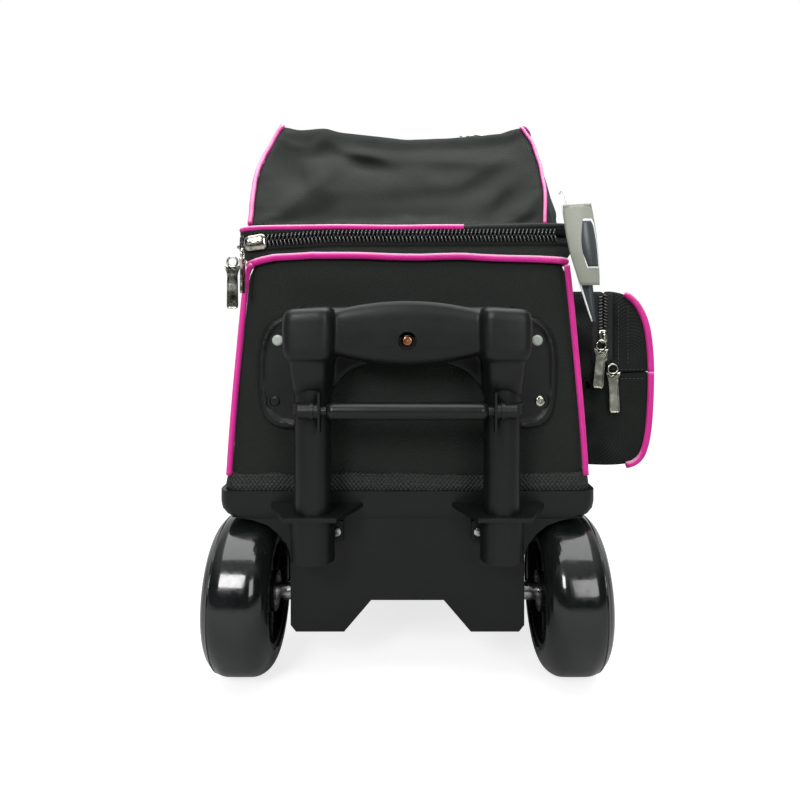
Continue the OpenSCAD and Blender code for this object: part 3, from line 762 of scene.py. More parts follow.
def make_band():
    """The zip band: the body's half below the coil, the lid's half and top panel above it."""
    counts = (64, 96, 8)
    low, normals = perimeter(-119.6, 119.6, REAR_Y, FRONT_Y, CORNER_R, counts)
    high, _ = perimeter(-BAND_X, BAND_X, BAND_REAR, BAND_FRONT, BAND_R, counts)

    def row(share, out, height):
        plan = low + (high - low) * share
        points = []
        for k, ((x, y), (nx, ny)) in enumerate(zip(plan, normals)):
            sx, sy = high[k]
            ripple = 0.35 * bump_field(x, y, out * 3, 19, 7.7)
            points.append((x + nx * (out + ripple), y + ny * (out + ripple), height(x, y, sx, sy)))
        return points

    def from_seam(rise):
        return lambda x, y, sx, sy: seam_height(x, y) + rise

    def from_split(rise):
        return lambda x, y, sx, sy: split_height(sx, sy) + rise

    collar = [row(0, -4, from_seam(-2)), row(0.0, -0.6, from_seam(0.4)), row(0.2, 0.5, from_seam(3.2))]
    # From the middle of the collar up to the coil: share of the way outwards, standing out, and rise
    collar += [row(share, out, from_split(rise)) for share, out, rise in (
        (0.75, 0.9, -9.6), (0.95, 0.2, -8.4), (0.97, -0.9, -7.6), (1, 0.6, -6.8), (1, 1.3, -5.6), (1, 1.0, -4.9),
        (1, -0.6, -4.4), (1, -0.8, -0.4), (1, -12, -0.4),
    )]
    piece = put_grid("zip_band_lower", collar, True, "body_fabric", "bag", thickness=1.0)
    soften(piece, 1)
    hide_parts("zipper_collar")

    lid = [row(1, -12, from_split(0.4)), row(1, -0.8, from_split(0.4)), row(1, -0.6, from_split(4.2))]
    lid += [row(1, 0.7, from_split(4.8)), row(1, 0.9, lambda *_: 347.4), row(1, 0.2, lambda *_: 348.6)]
    lid += [row(1, -2.5, lambda *_: 349.7), row(1, -6, lambda *_: 349.9)]
    edge = np.array(lid[-1])
    for share in (0.12, 0.3, 0.5, 0.7, 0.85, 1.0):
        lid.append(edge * [1 - share, 1, 1])
        lid[-1][:, 1] = np.clip(lid[-1][:, 1], BAND_REAR + 6 + 90 * share, BAND_FRONT - 6 - 90 * share)
    piece = put_grid("lid_panel", lid, True, "body_fabric", "lid", thickness=2.0)
    soften(piece, 1)
    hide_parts("lid_shell")

    # Upper piping, which becomes a plain dark welt right of the middle of the rear
    plan, outward = perimeter(0.6 - BAND_X, BAND_X - 0.6, BAND_REAR + 0.6, BAND_FRONT - 0.6, 15, (160, 160, 12))

    def piping_height(x, y):
        droop = 1.3 * math.exp(-((x + 130) ** 2 + (y + 16) ** 2) / 500)
        return 349.0 - droop + 0.2 * math.sin(x / 13 + y / 19)

    ring = np.array([(x - nx * 0.2, y - ny * 0.2, piping_height(x, y))
                     for (x, y), (nx, ny) in zip(plan, outward)])
    start = int(np.argmin(np.abs(ring[:, 0] - 43) + np.abs(ring[:, 1] - ring[:, 1].min())))
    ring = np.roll(ring, -start, axis=0)
    cut = int(np.argmax((ring[:, 0] > 120) & (ring[:, 1] > 440)))
    welt, pink = ring[: cut + 1], ring[cut:]
    pink = np.vstack([pink, ring[:1]])
    rise = np.interp(np.arange(len(welt)), [0, 8, 40, 60, 200], [-0.4, 0.4, 1.4, 0.8, 0.0])
    welt[:, 2] += rise
    tube_piece("upper_piping", pink, 2.05, "piping", "lid", sides=14)
    tube_piece("upper_welt", welt, 1.8, "tape", "lid", sides=12)

    # Fabric hinge on the right-hand side
    rows = []
    for z in np.linspace(331.5, 349, 9):
        swell = 0.5 * math.sin((z - 331.5) / 17.5 * math.pi)
        rows.append([(BAND_X + 1.5 + swell + 0.3 * bump_field(0, y, z, 22, 3), y, z)
                     for y in np.linspace(430, 42, 60)])
    hinge = put_grid("lid_hinge_strip", [r[::-1] for r in rows], False, "body_fabric", None, thickness=1.0)
    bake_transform(hinge)


def soften(piece, levels):
    piece.modifiers.new("soften", "SUBSURF").levels = levels
    piece.modifiers["soften"].render_levels = levels
    while piece.modifiers[0].name != "soften":
        piece.modifiers.move(len(piece.modifiers) - 1, 0)


def make_coil():
    """The zip's two rows of teeth, on the rear, the left and the front."""
    counts = (400, 400, 24)
    plan, outward = perimeter(-BAND_X, BAND_X, BAND_REAR, BAND_FRONT, BAND_R, counts)
    # From the right-hand end of the rear, leftwards and round to the front
    order = np.r_[np.arange(200, -1, -1), np.arange(len(plan) - 1, 200 + 24 + 400 + 24, -1)]
    path = np.array([(plan[k][0] + outward[k][0] * 0.9, plan[k][1] + outward[k][1] * 0.9,
                      split_height(*plan[k])) for k in order])
    tooth = capsule(5.6, 2.0, 3.0, 4, 8)
    for name, rise, phase, lean, body in (
        ("teeth_lower", -2.25, 0.0, 0.30, "bag"), ("teeth_upper", 2.25, 0.5, -0.30, "lid"),
    ):
        places = []
        for point, tangent in along(path, ZIP_PITCH, phase):
            near_slider = point[1] < -14 and point[0] < -112 or point[0] < -127 and point[1] < 14
            if near_slider:
                continue
            up = np.array([0.0, 0.0, 1.0])
            length = up + lean * tangent
            length /= np.linalg.norm(length)
            side = np.cross(length, tangent)
            side /= np.linalg.norm(side)
            places.append((point + up * rise, [length, np.cross(side, length), side]))
        many(name, tooth, places, "zipper_coil", body)


# ---- Shoe pouch on the lid ----

def loop(corners, counts, rounds=2):
    """A closed outline through corners with a fixed number of points on each side, its corners softened."""
    points = []
    for k, n in enumerate(counts):
        a, b = np.array(corners[k], float), np.array(corners[(k + 1) % len(corners)], float)
        points += [a + (b - a) * i / n for i in range(n)]
    points = np.array(points)
    for _ in range(rounds):
        points = (np.roll(points, 1, axis=0) + points * 2 + np.roll(points, -1, axis=0)) / 4
    return points


# The rear panel runs from the first corner to the second, and the side seams are at both
POUCH_COUNTS = (32, 4, 6, 50, 8, 34, 8, 50, 8, 3)
SEAM_RIGHT = 32
SEAM_LEFT = 0


def pouch_top(x):
    """Height of the rear panel's slouched top edge."""
    return float(np.interp(x, [-124, -114, -98, -75, -62, 0, 40, 68, 91, 103, 125],
                           [446, 454.5, 450.6, 452.8, 449, 442, 443.6, 446, 448.2, 453.7, 444]))


def pouch_row(t):
    """One level of the pouch's walls, for t from 0 at the lid to 1 at the top edge."""
    left = float(np.interp(t, [0, 0.15, 0.3, 0.45, 0.6, 0.72, 0.85, 0.93, 1],
                           [-123.4, -124.8, -126.0, -127.0, -126.8, -125.4, -121.9, -118.4, -113.6]))
    right = float(np.interp(t, [0, 0.34, 0.61, 0.85, 1], [108, 112.6, 113.4, 110.6, 103]))
    wide = float(np.interp(t, [0, 0.22, 0.6, 1], [130, 136.5, 132, 118]))
    wide_left = float(np.interp(t, [0, 0.5, 1], [-126, -131.5, -121]))
    rear = -4 + 84 * t ** 1.08 - 4 * math.sin(math.pi * t)
    front = 474 - 40 * t + 6 * math.sin(math.pi * t)
    corners = ((left, rear), (right, rear), (right + 9, rear + 12), (wide, rear + 52), (wide, front - 34),
               (wide - 34, front), (wide_left + 34, front), (wide_left, front - 34), (wide_left, rear + 44),
               (left - 2.5, rear + 12))
    return loop(corners, POUCH_COUNTS, 2)


def hollow(x, z, cx, cz, wide, tall, slant=0.0):
    dx, dz = x - cx, z - cz
    u = dx * math.cos(slant) + dz * math.sin(slant)
    v = -dx * math.sin(slant) + dz * math.cos(slant)
    return math.exp(-(u / wide) ** 2 - (v / tall) ** 2)


def pouch_folds(x, y, z):
    """Slack in the cloth: the rear panel's hollows and ridge, and softer folds elsewhere."""
    rear = max(0.0, 1 - max(0.0, y - (z - 350) * 0.82 - 12) / 30)
    folds = -9 * hollow(x, z, -95, 402, 12, 22, 0.5) - 9 * hollow(x, z, -72, 430, 17, 10, 0.5)
    folds += -8 * hollow(x, z, -34, 415, 24, 8, -0.35) - 6 * hollow(x, z, -68, 367, 20, 9, 0.9)
    folds += 7 * hollow(x, z, -90, 380, 38, 8, 0.85) + 5 * hollow(x, z, -50, 432, 26, 7, -0.3)
    folds += 6 * hollow(x, z, 30, 425, 46, 12, -0.1) - 6 * hollow(x, z, 62, 395, 30, 9, 0.7)
    folds += 4 * hollow(x, z, 84, 415, 18, 26, -0.25) - 4 * hollow(x, z, 10, 380, 50, 10, 0.12)
    folds += -8 * hollow(x, z, 78, 376, 16, 6, 0.9) - 5 * hollow(x, z, -14, 362, 60, 9, 0.05)
    folds += 5 * hollow(x, z, 92, 368, 10, 7, 0.9)
    folds *= 1.45
    general = 3.2 * bump_field(x, y, z, 46, 2.2) + 1.4 * bump_field(x, y, z, 19, 5.1)
    return rear * folds + general


def outward_of(row):
    ahead = np.roll(row, -1, axis=0) - np.roll(row, 1, axis=0)
    normals = np.column_stack([ahead[:, 1], -ahead[:, 0]])
    return normals / np.linalg.norm(normals, axis=1)[:, None]


FLAP = (-92, 50, 98, 412)


def opening_row(grow):
    """The flap's opening, with as many points as the pouch's walls and in step with them."""
    x0, x1, y0, y1 = FLAP[0] - grow, FLAP[1] + grow, FLAP[2] - grow, FLAP[3] + grow
    corners = ((x0 + 4, y0), (x1 - 8, y0), (x1 - 3, y0 + 3), (x1, y0 + 14), (x1, y1 - 16), (x1 - 16, y1),
               (x0 + 16, y1), (x0, y1 - 16), (x0, y0 + 14), (x0 + 1, y0 + 5))
    return loop(corners, POUCH_COUNTS, 3)


def top_height(x, y):
    """Height of the pouch's top away from its rear edge."""
    sag = 447.2 - 3.5 * hollow(x, y, -20, 100, 70, 60) - 3 * hollow(x, y, 0, 330, 80, 90)
    return sag + 1.3 * bump_field(x, y, 0, 44, 6.2)


def simulate(piece, pinned, cap_mm, pressure, frames=16):
    """Blows a cloth gently out for a few frames with some points held, and keeps the result as its mesh."""
    scene = bpy.context.scene
    mesh = piece.data
    rest = np.empty(len(mesh.vertices) * 3)
    mesh.vertices.foreach_get("co", rest)
    group = piece.vertex_groups.new(name="held")
    for index, weight in pinned:
        group.add([index], weight, "REPLACE")
    cloth = piece.modifiers.new("slack", "CLOTH")
    settings = cloth.settings
    settings.quality = 5
    settings.mass = 0.3
    settings.tension_stiffness = 15
    settings.compression_stiffness = 6
    settings.bending_stiffness = 0.6
    settings.shrink_min = -0.025
    settings.vertex_group_mass = "held"
    settings.use_pressure = True
    settings.uniform_pressure_force = pressure
    settings.effector_weights.gravity = 0.25
    cloth.collision_settings.use_collision = False
    cloth.collision_settings.use_self_collision = False
    cloth.point_cache.frame_start = 1
    cloth.point_cache.frame_end = frames
    for other in piece.modifiers:
        other.show_viewport = other.type == "CLOTH"
    for step in range(1, frames + 1):
        scene.frame_set(step)
    moved = np.empty_like(rest)
    evaluated = piece.evaluated_get(bpy.context.evaluated_depsgraph_get())
    evaluated.data.vertices.foreach_get("co", moved)
    shift = (moved - rest).reshape(-1, 3)
    length = np.linalg.norm(shift, axis=1)[:, None]
    shift *= np.minimum(1.0, cap_mm / 1000 / np.maximum(length, 1e-9))
    piece.modifiers.remove(cloth)
    for other in piece.modifiers:
        other.show_viewport = True
    mesh.vertices.foreach_set("co", (rest.reshape(-1, 3) + shift).ravel())
    mesh.update()
    scene.frame_set(1)


def make_pouch():
    rows = []
    for t in np.linspace(0, 1, 30):
        plan = pouch_row(t)
        normals = outward_of(plan)
        points = []
        for (x, y), (nx, ny) in zip(plan, normals):
            rear = max(0.0, 1 - max(0.0, y - 84 * t - 6) / 60)
            top = pouch_top(x) * rear + (1 - rear) * (449 - 2 * bump_field(x, y, 0, 40, 3))
            z = LID_Z - 0.3 + t * (top - LID_Z)
            hold = min(1.0, 7 * t, 2.4 - 1.9 * t)
            push = pouch_folds(x, y, z) * hold
            points.append((x + nx * push, y + ny * push, z - 0.25 * push * (ny < -0.5)))
        rows.append(points)
    edge = np.array(rows[-1])
    inner = opening_row(0.9)
    inner = np.array([(x, y, top_height(x, y)) for x, y in inner])
    for share in (0.04, 0.12, 0.26, 0.42, 0.6, 0.8, 1.0):
        plan = edge + (inner - edge) * share
        settle = []
        for k, (x, y, z) in enumerate(plan):
            height = edge[k][2] + (inner[k][2] - edge[k][2]) * share
            round_off = 1.2 * math.sin(math.pi * share)
            settle.append((x, y, height + round_off))
        rows.append(settle)
    pouch = put_grid("pouch_walls", rows, True, "body_fabric", "lid", thickness=1.0)
    count = len(rows[0])
    pinned = [(k, 1.0) for k in range(2 * count)]
    seams = [(level * count + k, 0.85) for level in range(2, 30) for k in (SEAM_RIGHT, SEAM_LEFT)]
    rim = [(level * count + k, 0.9) for level in (28, 29, 30) for k in range(count)]
    mouth = [((len(rows) - 1) * count + k, 1.0) for k in range(count)]
    simulate(pouch, pinned + seams + rim + mouth, 5.0, 1.5)
    soften(pouch, 1)
    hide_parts("pouch_shell")

    places = np.empty(len(pouch.data.vertices) * 3)
    pouch.data.vertices.foreach_get("co", places)
    places = (places.reshape(-1, 3) - ORIGIN) * 1000
    shaped = places.reshape(len(rows), count, 3)
    for name, k, radius, lean, step in (
        ("pouch_piping_left", SEAM_LEFT, 1.95, (-0.8, -0.7), -1),
        ("pouch_piping_right", SEAM_RIGHT, 1.5, (0.3, -0.8), 1),
    ):
        path = [shaped[level][k] + np.array([lean[0], lean[1], 0]) for level in range(1, 30)]
        top = shaped[29]
        for i in range(1, 62):
            path.append(top[(k + step * i) % count] + np.array([lean[0] * 0.6, 0, 1.0 + 0.3 * math.sin(i)]))
        path = resample(smooth_path(path, 2), 2.4)
        tube_piece(name, path, radius, "piping", "lid", sides=12)
    # A row of stitches beside the rear panel's foot
    foot = [shaped[1][k % count] + np.array([0, -0.7, 0.6]) for k in range(1, SEAM_RIGHT)]
    stitches("pouch_foot_stitches", np.array(foot), (0, -1, 0.2), "lid", 4.2)

    # The zipped panel in the top
    x0, x1, y0, y1 = FLAP
    rows = []
    outline = opening_row(-0.9)
    centre = np.array([(x0 + x1) / 2, (y0 + y1) / 2])
    for share in (1.0, 0.97, 0.9, 0.78, 0.64, 0.5, 0.36, 0.22, 0.1, 0.003):
        lengthwise = 0.35 + 0.65 * share if share < 0.97 else share
        points = []
        for x, y in centre + (outline - centre) * [share, lengthwise]:
            puff = 0.0 if share == 1.0 else 1.6 * (1 - share) + bump_field(x, y, 5, 33, 2)
            points.append((x, y, top_height(x, y) + puff))
        rows.append(points)
    flap = put_grid("pouch_flap_panel", rows, True, "body_fabric", "pouch_flap", thickness=1.0)
    soften(flap, 1)
    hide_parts("pouch_flap")
    tooth = capsule(3.6, 1.3, 1.8, 3, 6)
    base = opening_row(0.0)
    path = np.array([(x, y, top_height(x, y) + 1.2) for x, y in base])
    # The zip leaves the hinge side free
    order = [k for k in range(count) if path[k][0] > x0 + 8]
    start = max(range(len(order)), key=lambda i: (order[i] - order[i - 1]) % count)
    order = order[start:] + order[:start]
    run = path[order]
    for name, out, phase, body in (
        ("pouch_teeth_outer", 1.5, 0.0, "lid"), ("pouch_teeth_inner", -1.5, 0.5, "pouch_flap"),
    ):
        places = []
        for point, tangent in along(run, 2.4, phase):
            across = np.cross(tangent, (0, 0, 1.0))
            across /= np.linalg.norm(across)
            places.append((point + across * out, [across, np.cross((0, 0, 1.0), across), (0, 0, 1.0)]))
        many(name, tooth, places, "zipper_coil", body)


# ---- Side pocket ----

POCKET_REAR, POCKET_FRONT = 45.0, 430.0
ZIP_X, FOLD_Z = 165.0, 234.0


def pocket_profile():
    """The pocket's outer edge from the body's side at the bottom, outwards and up to the body again."""
    points = [(134.0, 158.5), (150, 156.5), (172, 155.8), (186, 157), (193.5, 160), (199, 167), (203, 184),
              (204.6, 210), (205, 233.7), (204.8, 246), (203.6, 262), (201.0, 277), (194.5, 291), (186, 299.6),
              (176, 302.6), (165, 303), (140, 303.2), (121.2, 303)]
    return np.array(points)


def split_profile():
    smooth = resample(np.array([(x, 0, z) for x, z in smooth_path2(pocket_profile(), 2)]), 3.0)[:, [0, 2]]
    fold = int(np.argmin(np.abs(smooth[:, 1] - FOLD_Z) + (smooth[:, 0] < 190) * 99))
    top = int(np.argmin(np.abs(smooth[:, 0] - ZIP_X) + (smooth[:, 1] < 290) * 99))
    return smooth[: fold + 1], smooth[fold: top + 1], smooth[top:]


def smooth_path2(points, rounds):
    lifted = np.column_stack([points[:, 0], np.zeros(len(points)), points[:, 1]])
    return smooth_path(lifted, rounds)[:, [0, 2]]


def pocket_skin(x, y, z):
    """How far the pocket's cloth stands out: soft folds, with gathers next to the body and at the bottom."""
    gathers = 3.6 * math.exp(-((x - 140) / 15) ** 2) * math.sin(z / 5.2 + 1.3 * bump_field(x, y, z, 20, 4))
    low = 2.6 * math.exp(-((z - 163) / 10) ** 2) * math.sin(x / 5.5 + y / 30)
    return gathers + low + 1.4 * bump_field(x, y, z, 24, 7.3) + 0.5 * bump_field(x, y, z, 9, 1.2)


def pocket_piece(name, edge, boundary, centre, body, node):
    """Side walls from an edge swept forward, with a puffed panel across the rear and the front."""
    stations = np.linspace(POCKET_REAR, POCKET_FRONT, 56)
    mid = np.array(centre, float)
    sides = []
    for y in stations:
        t = (y - POCKET_REAR) / (POCKET_FRONT - POCKET_REAR)
        swell = 3.0 * math.sin(math.pi * t) ** 0.5
        row = []
        for x, z in edge:
            away = np.array([x, z]) - mid
            away /= np.linalg.norm(away)
            folds = 0.8 * pocket_skin(x, y, z) * min(1.0, 8 * t, 8 * (1 - t))
            push = min((swell - 1.5) * (x > 150) + folds * (x > 128), 2.5)
            row.append((x + away[0] * push, y, z + away[1] * push))
        sides.append(row)
    wall = put_grid(name + "_wall", sides, False, "body_fabric", body, thickness=-1.4)
    soften(wall, 1)
    for end, y, sign in (("rear", POCKET_REAR, -1), ("front", POCKET_FRONT, 1)):
        rows = []
        for share in np.linspace(1, 0.04, 16):
            row = []
            for x, z in boundary:
                px, pz = mid + (np.array([x, z]) - mid) * share
                puff = 3.2 * (1 - share ** 6) + 1.3 * pocket_skin(px, y, pz) * min(1.0, 5 * (1 - share))
                if abs(px - ZIP_X) < 9 and pz > FOLD_Z + 10:
                    puff = min(puff, 0.8)
                row.append((px, y + sign * puff, pz))
            rows.append(row)
        if sign > 0:
            rows = [row[::-1] for row in rows]
        cloth = "body_fabric" if end == "front" else "gusset_fabric"
        panel = put_grid(f"{name}_{end}", rows, True, cloth, body, thickness=1.2)
        soften(panel, 1)
    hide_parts(node)


def dense(points, step=3.0):
    """A closed outline in x and z, resampled and set anticlockwise as seen from the rear."""
    lifted = np.array([(x, 0, z) for x, z in points])
    return resample(lifted, step, closed=True)[:, [0, 2]]


def make_pocket():
    low, flap, high = split_profile()
    boundary = dense(np.vstack([low, [[ZIP_X + 0.2, FOLD_Z - 0.4]], high]))
    pocket_piece("pocket_bucket", np.vstack([high, low[1:]]), boundary, (152, 224), "bag", "pocket_bucket")
    over = dense(np.vstack([flap + [0.3, 0.4], [[ZIP_X + 0.6, FOLD_Z + 0.4]]]))
    pocket_piece("pocket_flap", flap, over, (168, 238), "pocket_flap", "pocket_flap")
    for part, body in ((low, "bag"), (flap, "pocket_flap")):
        tag = "low" if body == "bag" else "high"
        for end, y in (("rear", POCKET_REAR - 1.6), ("front", POCKET_FRONT + 1.6)):
            away = part - np.array([160, 228])
            away /= np.linalg.norm(away, axis=1)[:, None]
            path = [(x + ax * 0.9, y, z + az * 0.9) for (x, z), (ax, az) in zip(part, away) if x > 182]
            tube_piece(f"pocket_piping_{tag}_{end}", np.array(path), 2.7, "piping", body, sides=14)
    # Zip up the rear panel, its tapes and the stitching beside it
    teeth = capsule(4.6, 1.6, 2.0, 4, 8)
    up = [(ZIP_X, POCKET_REAR - 2.6, z) for z in np.linspace(271, 300, 20)]
    for name, shift, phase, lean, body in (
        ("pocket_teeth_in", -2.0, 0, 0.25, "bag"), ("pocket_teeth_out", 2.3, 0.5, -0.25, "pocket_flap"),
    ):
        places = []
        for point, tangent in along(up, 2.6, phase):
            across = np.array([1.0, 0, lean])
            across /= np.linalg.norm(across)
            out = np.array([0, -1.0, 0])
            places.append((point + [shift, 0, 0], [across, np.cross(out, across), out]))
        many(name, teeth, places, "zipper_coil", body)
    for name, x0, x1, body in (
        ("pocket_tape_in", 153.0, 164.6, "bag"), ("pocket_tape_out", 165.9, 173.5, "pocket_flap"),
    ):
        rows = [[(x0 + (x1 - x0) * s, POCKET_REAR - 1.9 + 0.25 * bump_field(x0, z, s * 9, 12, 3), z)
                 for s in np.linspace(0, 1, 7)] for z in np.linspace(236.5, 302, 34)]
        tape = put_grid(name, rows, False, "tape", body, thickness=0.7)
    for x in (177.6, 185.5):
        line = [(x, POCKET_REAR - 3.9, z) for z in np.linspace(241, 292, 30)]
        stitches(f"pocket_stitches_{int(x)}", line, (0, -1, 0), "pocket_flap", 3.6)
    for z, body in ((237.2, "pocket_flap"), (229.6, "bag")):
        line = [(x, POCKET_REAR - 3.9, z) for x in np.linspace(172, 200, 30)]
        stitches(f"pocket_fold_stitches_{int(z)}", line, (0, -1, 0), body, 3.4)


# ---- Moulded bracket ----


def solid(name, parts):
    """One mesh object from several closed shapes, each given as (points in bag millimetres, faces)."""
    points, faces = [], []
    for shape, shape_faces in parts:
        start = len(points)
        points += [tuple(p) for p in shape]
        faces += [tuple(start + i for i in f) for f in shape_faces]
    mesh = bpy.data.meshes.new(name)
    mesh.from_pydata([tuple(p) for p in to_row(points)], [], faces)
    shape = bmesh.new()
    shape.from_mesh(mesh)
    bmesh.ops.recalc_face_normals(shape, faces=shape.faces)
    shape.to_mesh(mesh)
    shape.free()
    piece = bpy.data.objects.new(name, mesh)
    bpy.context.scene.collection.objects.link(piece)
    return piece


def bake(piece):
    """Applies every modifier."""
    evaluated = piece.evaluated_get(bpy.context.evaluated_depsgraph_get())
    mesh = bpy.data.meshes.new_from_object(evaluated)
    piece.modifiers.clear()
    old = piece.data
    piece.data = mesh
    bpy.data.meshes.remove(old)


def layers(outlines):
    """A closed shape through outlines of equal length, each a list of 3-D points."""
    count = len(outlines[0])
    points = [p for outline in outlines for p in outline]
    faces = [tuple(range(count)), tuple(range(len(points) - 1, len(points) - 1 - count, -1))]
    for j in range(len(outlines) - 1):
        for i in range(count):
            k = (i + 1) % count
            faces.append((j * count + i, (j + 1) * count + i, (j + 1) * count + k, j * count + k))
    return points, faces


def plate(outline, y0, y1):
    """An x-z outline given depth along y."""
    return layers([[(x, y0, z) for x, z in outline], [(x, y1, z) for x, z in outline]])


def rounded(points, rounds=2):
    """A closed x-z outline with its corners cut soft."""
    points = np.asarray(points, float)
    for _ in range(rounds):
        after = np.roll(points, -1, axis=0)
        points = np.column_stack([points * 0.75 + after * 0.25, points * 0.25 + after * 0.75]).reshape(-1, 2)
    return [tuple(p) for p in points]


def rod(radius, start, end, steps=32):
    """A round bar between two points."""
    start, end = np.array(start, float), np.array(end, float)
    axis = (end - start) / np.linalg.norm(end - start)
    side = np.cross(axis, (0.0, 0.0, 1.0) if abs(axis[2]) < 0.9 else (1.0, 0.0, 0.0))
    side /= np.linalg.norm(side)
    up = np.cross(axis, side)
    angles = np.arange(steps) * TAU / steps
    ring = radius * (np.cos(angles)[:, None] * side + np.sin(angles)[:, None] * up)
    return layers([[tuple(p) for p in start + ring], [tuple(p) for p in end + ring]])


def soft_corner(angle, power):
    """Cosine and sine pulled towards a square: the smaller the power, the squarer the ring."""
    c, s = math.cos(angle), math.sin(angle)
    return math.copysign(abs(c) ** power, c), math.copysign(abs(s) ** power, s)


def cut(piece, cutters):
    for k, shape in enumerate(cutters):
        tool = solid(f"cutter_{k}", [shape])
        step = piece.modifiers.new(f"cut_{k}", "BOOLEAN")
        step.operation = "DIFFERENCE"
        step.object = tool
        step.solver = "EXACT"
        bake(piece)
        bpy.data.objects.remove(tool)


def bevel(piece, width_mm, degrees, segments=2):
    edge = piece.modifiers.new("edge", "BEVEL")
    edge.width = width_mm / 1000
    edge.segments = segments
    edge.limit_method = "ANGLE"
    edge.angle_limit = math.radians(degrees)


def dress(piece, material, body, node, width_mm, degrees):
    """Gives a solid piece its material, soft edges and body, and hides the CAD node it stands for."""
    piece.data.materials.clear()
    piece.data.materials.append(MATERIALS[material])
    piece.data.shade_smooth()
    bevel(piece, width_mm, degrees)
    piece.modifiers.new("normals", "WEIGHTED_NORMAL")
    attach(piece, body)
    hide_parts(node)


# The places of the five rivets in x and z, the middle one last
RIVETS = ((-96, 264), (96, 264), (-98, 219), (98, 219), (0, 264.5))


# The socket block from its top down: height, inner and outer side, and front face
SOCKET_LEVELS = (
    (288.6, 55, 78, -60), (287.8, 52, 82.5, -66), (285.5, 50.4, 85, -68.8), (281, 49.6, 86, -69.8),
    (270, 49.4, 86.2, -70), (258, 50, 85.6, -70), (253, 51, 84.4, -69), (250.5, 53, 82.6, -66),
    (247, 54, 81.6, -64.4), (238, 54.6, 81, -62), (231, 55, 80.6, -58.6), (225, 55.4, 80.2, -53),
    (221, 56, 80, -46), (213, 57, 79.4, -34), (207, 58, 78.8, -28), (204, 59, 78, -24),
)
RIVET_FINISHES = ("pale_resin", "pale_resin", "black_moulding", "nickel", "copper")


def make_bracket():
    """Two tube sockets joined by an arch, on a plate with round wings, all in one soft moulding."""
    wing = [(46, 284), (84, 284), (101, 279), (109, 268), (111, 250), (110.5, 226), (107, 207), (97, 199),
            (82, 198.5), (67, 200), (60, 206), (57, 222), (50, 236), (36, 246), (0, 250), (0, 288)]
    parts = []
    for flip in (1, -1):
        parts.append(plate(rounded([(x * flip, z) for x, z in wing], 2), -26, -20.3))
        # Raised rim round the wing
        rim = [(56, 282), (84, 281), (98, 276.5), (105.5, 266), (107.5, 250), (107, 227), (103.5, 210), (95, 203),
               (82, 202)]
        path = [(x * flip, -26.2, z) for x, z in smooth_path2(np.array(rim, float), 3)]
        rows = sweep_rows(resample(np.array(path), 3), 1.6, 8)
        parts.append(layers([[tuple(p) for p in row] for row in rows]))
        rows = []
        # The socket block: soft above, stepping in below and running into a leg
        for z, inner, outer, front in SOCKET_LEVELS:
            tilt = -1.6 * (z > 280)
            ring = []
            for a in np.arange(40) * TAU / 40:
                u, v = soft_corner(a, 0.42)
                x = (inner + outer) / 2 + u * (outer - inner) / 2
                y = (front - 22) / 2 + v * (-22 - front) / 2
                ring.append((x * flip, y, z + tilt * (x - inner) / (outer - inner)))
            rows.append(ring)
        parts.append(layers(rows))
    arch = []
    for x in np.linspace(-60, 60, 25):
        crown = 294.8 - 0.0029 * x * x
        under = 246.5 + 0.0030 * x * x
        ring = []
        for a in np.arange(32) * TAU / 32:
            u, v = soft_corner(a, 0.45)
            ring.append((x, -42 + u * 18.5, (crown + under) / 2 + v * (crown - under) / 2))
        arch.append(ring)
    parts.append(layers(arch))
    piece = solid("bracket_moulding", parts)
    remesh = piece.modifiers.new("fuse", "REMESH")
    remesh.mode = "VOXEL"
    remesh.voxel_size = 0.0013
    bake(piece)
    relax = piece.modifiers.new("relax", "SMOOTH")
    relax.factor = 0.5
    relax.iterations = 5
    bake(piece)
    slim = piece.modifiers.new("slim", "DECIMATE")
    slim.ratio = 0.5
    bake(piece)
    cutters = [plate([(-81.5, 267), (81.5, 267), (81.5, 312), (-81.5, 312)], -57, -33)]
    cutters += [rod(TUBE_BORE_R, (x, TUBE_Y, 190), (x, TUBE_Y, 268), 48) for x in (-TUBE_X, TUBE_X)]
    cutters += [rod(6.4, (x, -90, z), (x, -25.4 if x else -54.5, z), 40) for x, z in RIVETS]
    cut(piece, cutters)
    dress(piece, "black_moulding", "bag", "handle_bracket", 0.5, 50)
    # Domed rivet heads: pale resin above, black moulding and nickel below, copper in the middle
    dome = [(0.0, 2.3), (2.0, 2.15), (3.4, 1.6), (4.2, 0.8), (4.3, 0.0), (4.3, -0.6)]
    for k, ((x, z), finish) in enumerate(zip(RIVETS, RIVET_FINISHES)):
        rows, face = [], -24.4 if x else -53.9
        for r, out in [(0.35, 2.0), (1.1, 1.7)] + dome[1:]:
            a = np.arange(40) * TAU / 40
            rows.append(np.column_stack([x + r * np.sin(a), np.full(40, face - out), z + r * np.cos(a)]))
        head = put_grid(f"rivet_head_{k}", rows, True, finish, "bag")
        shape = bmesh.new()
        shape.from_mesh(head.data)
        bmesh.ops.holes_fill(shape, edges=[e for e in shape.edges if e.is_boundary], sides=0)
        bmesh.ops.recalc_face_normals(shape, faces=shape.faces)
        shape.to_mesh(head.data)
        shape.free()
        if k == 0:
            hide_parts("bracket_rivets")


# ---- Wheels ----


def arc(cr, cx, radius, start, end, steps):
    return [(cr + radius * math.cos(math.radians(a)), cx + radius * math.sin(math.radians(a)))
            for a in np.linspace(start, end, steps)]


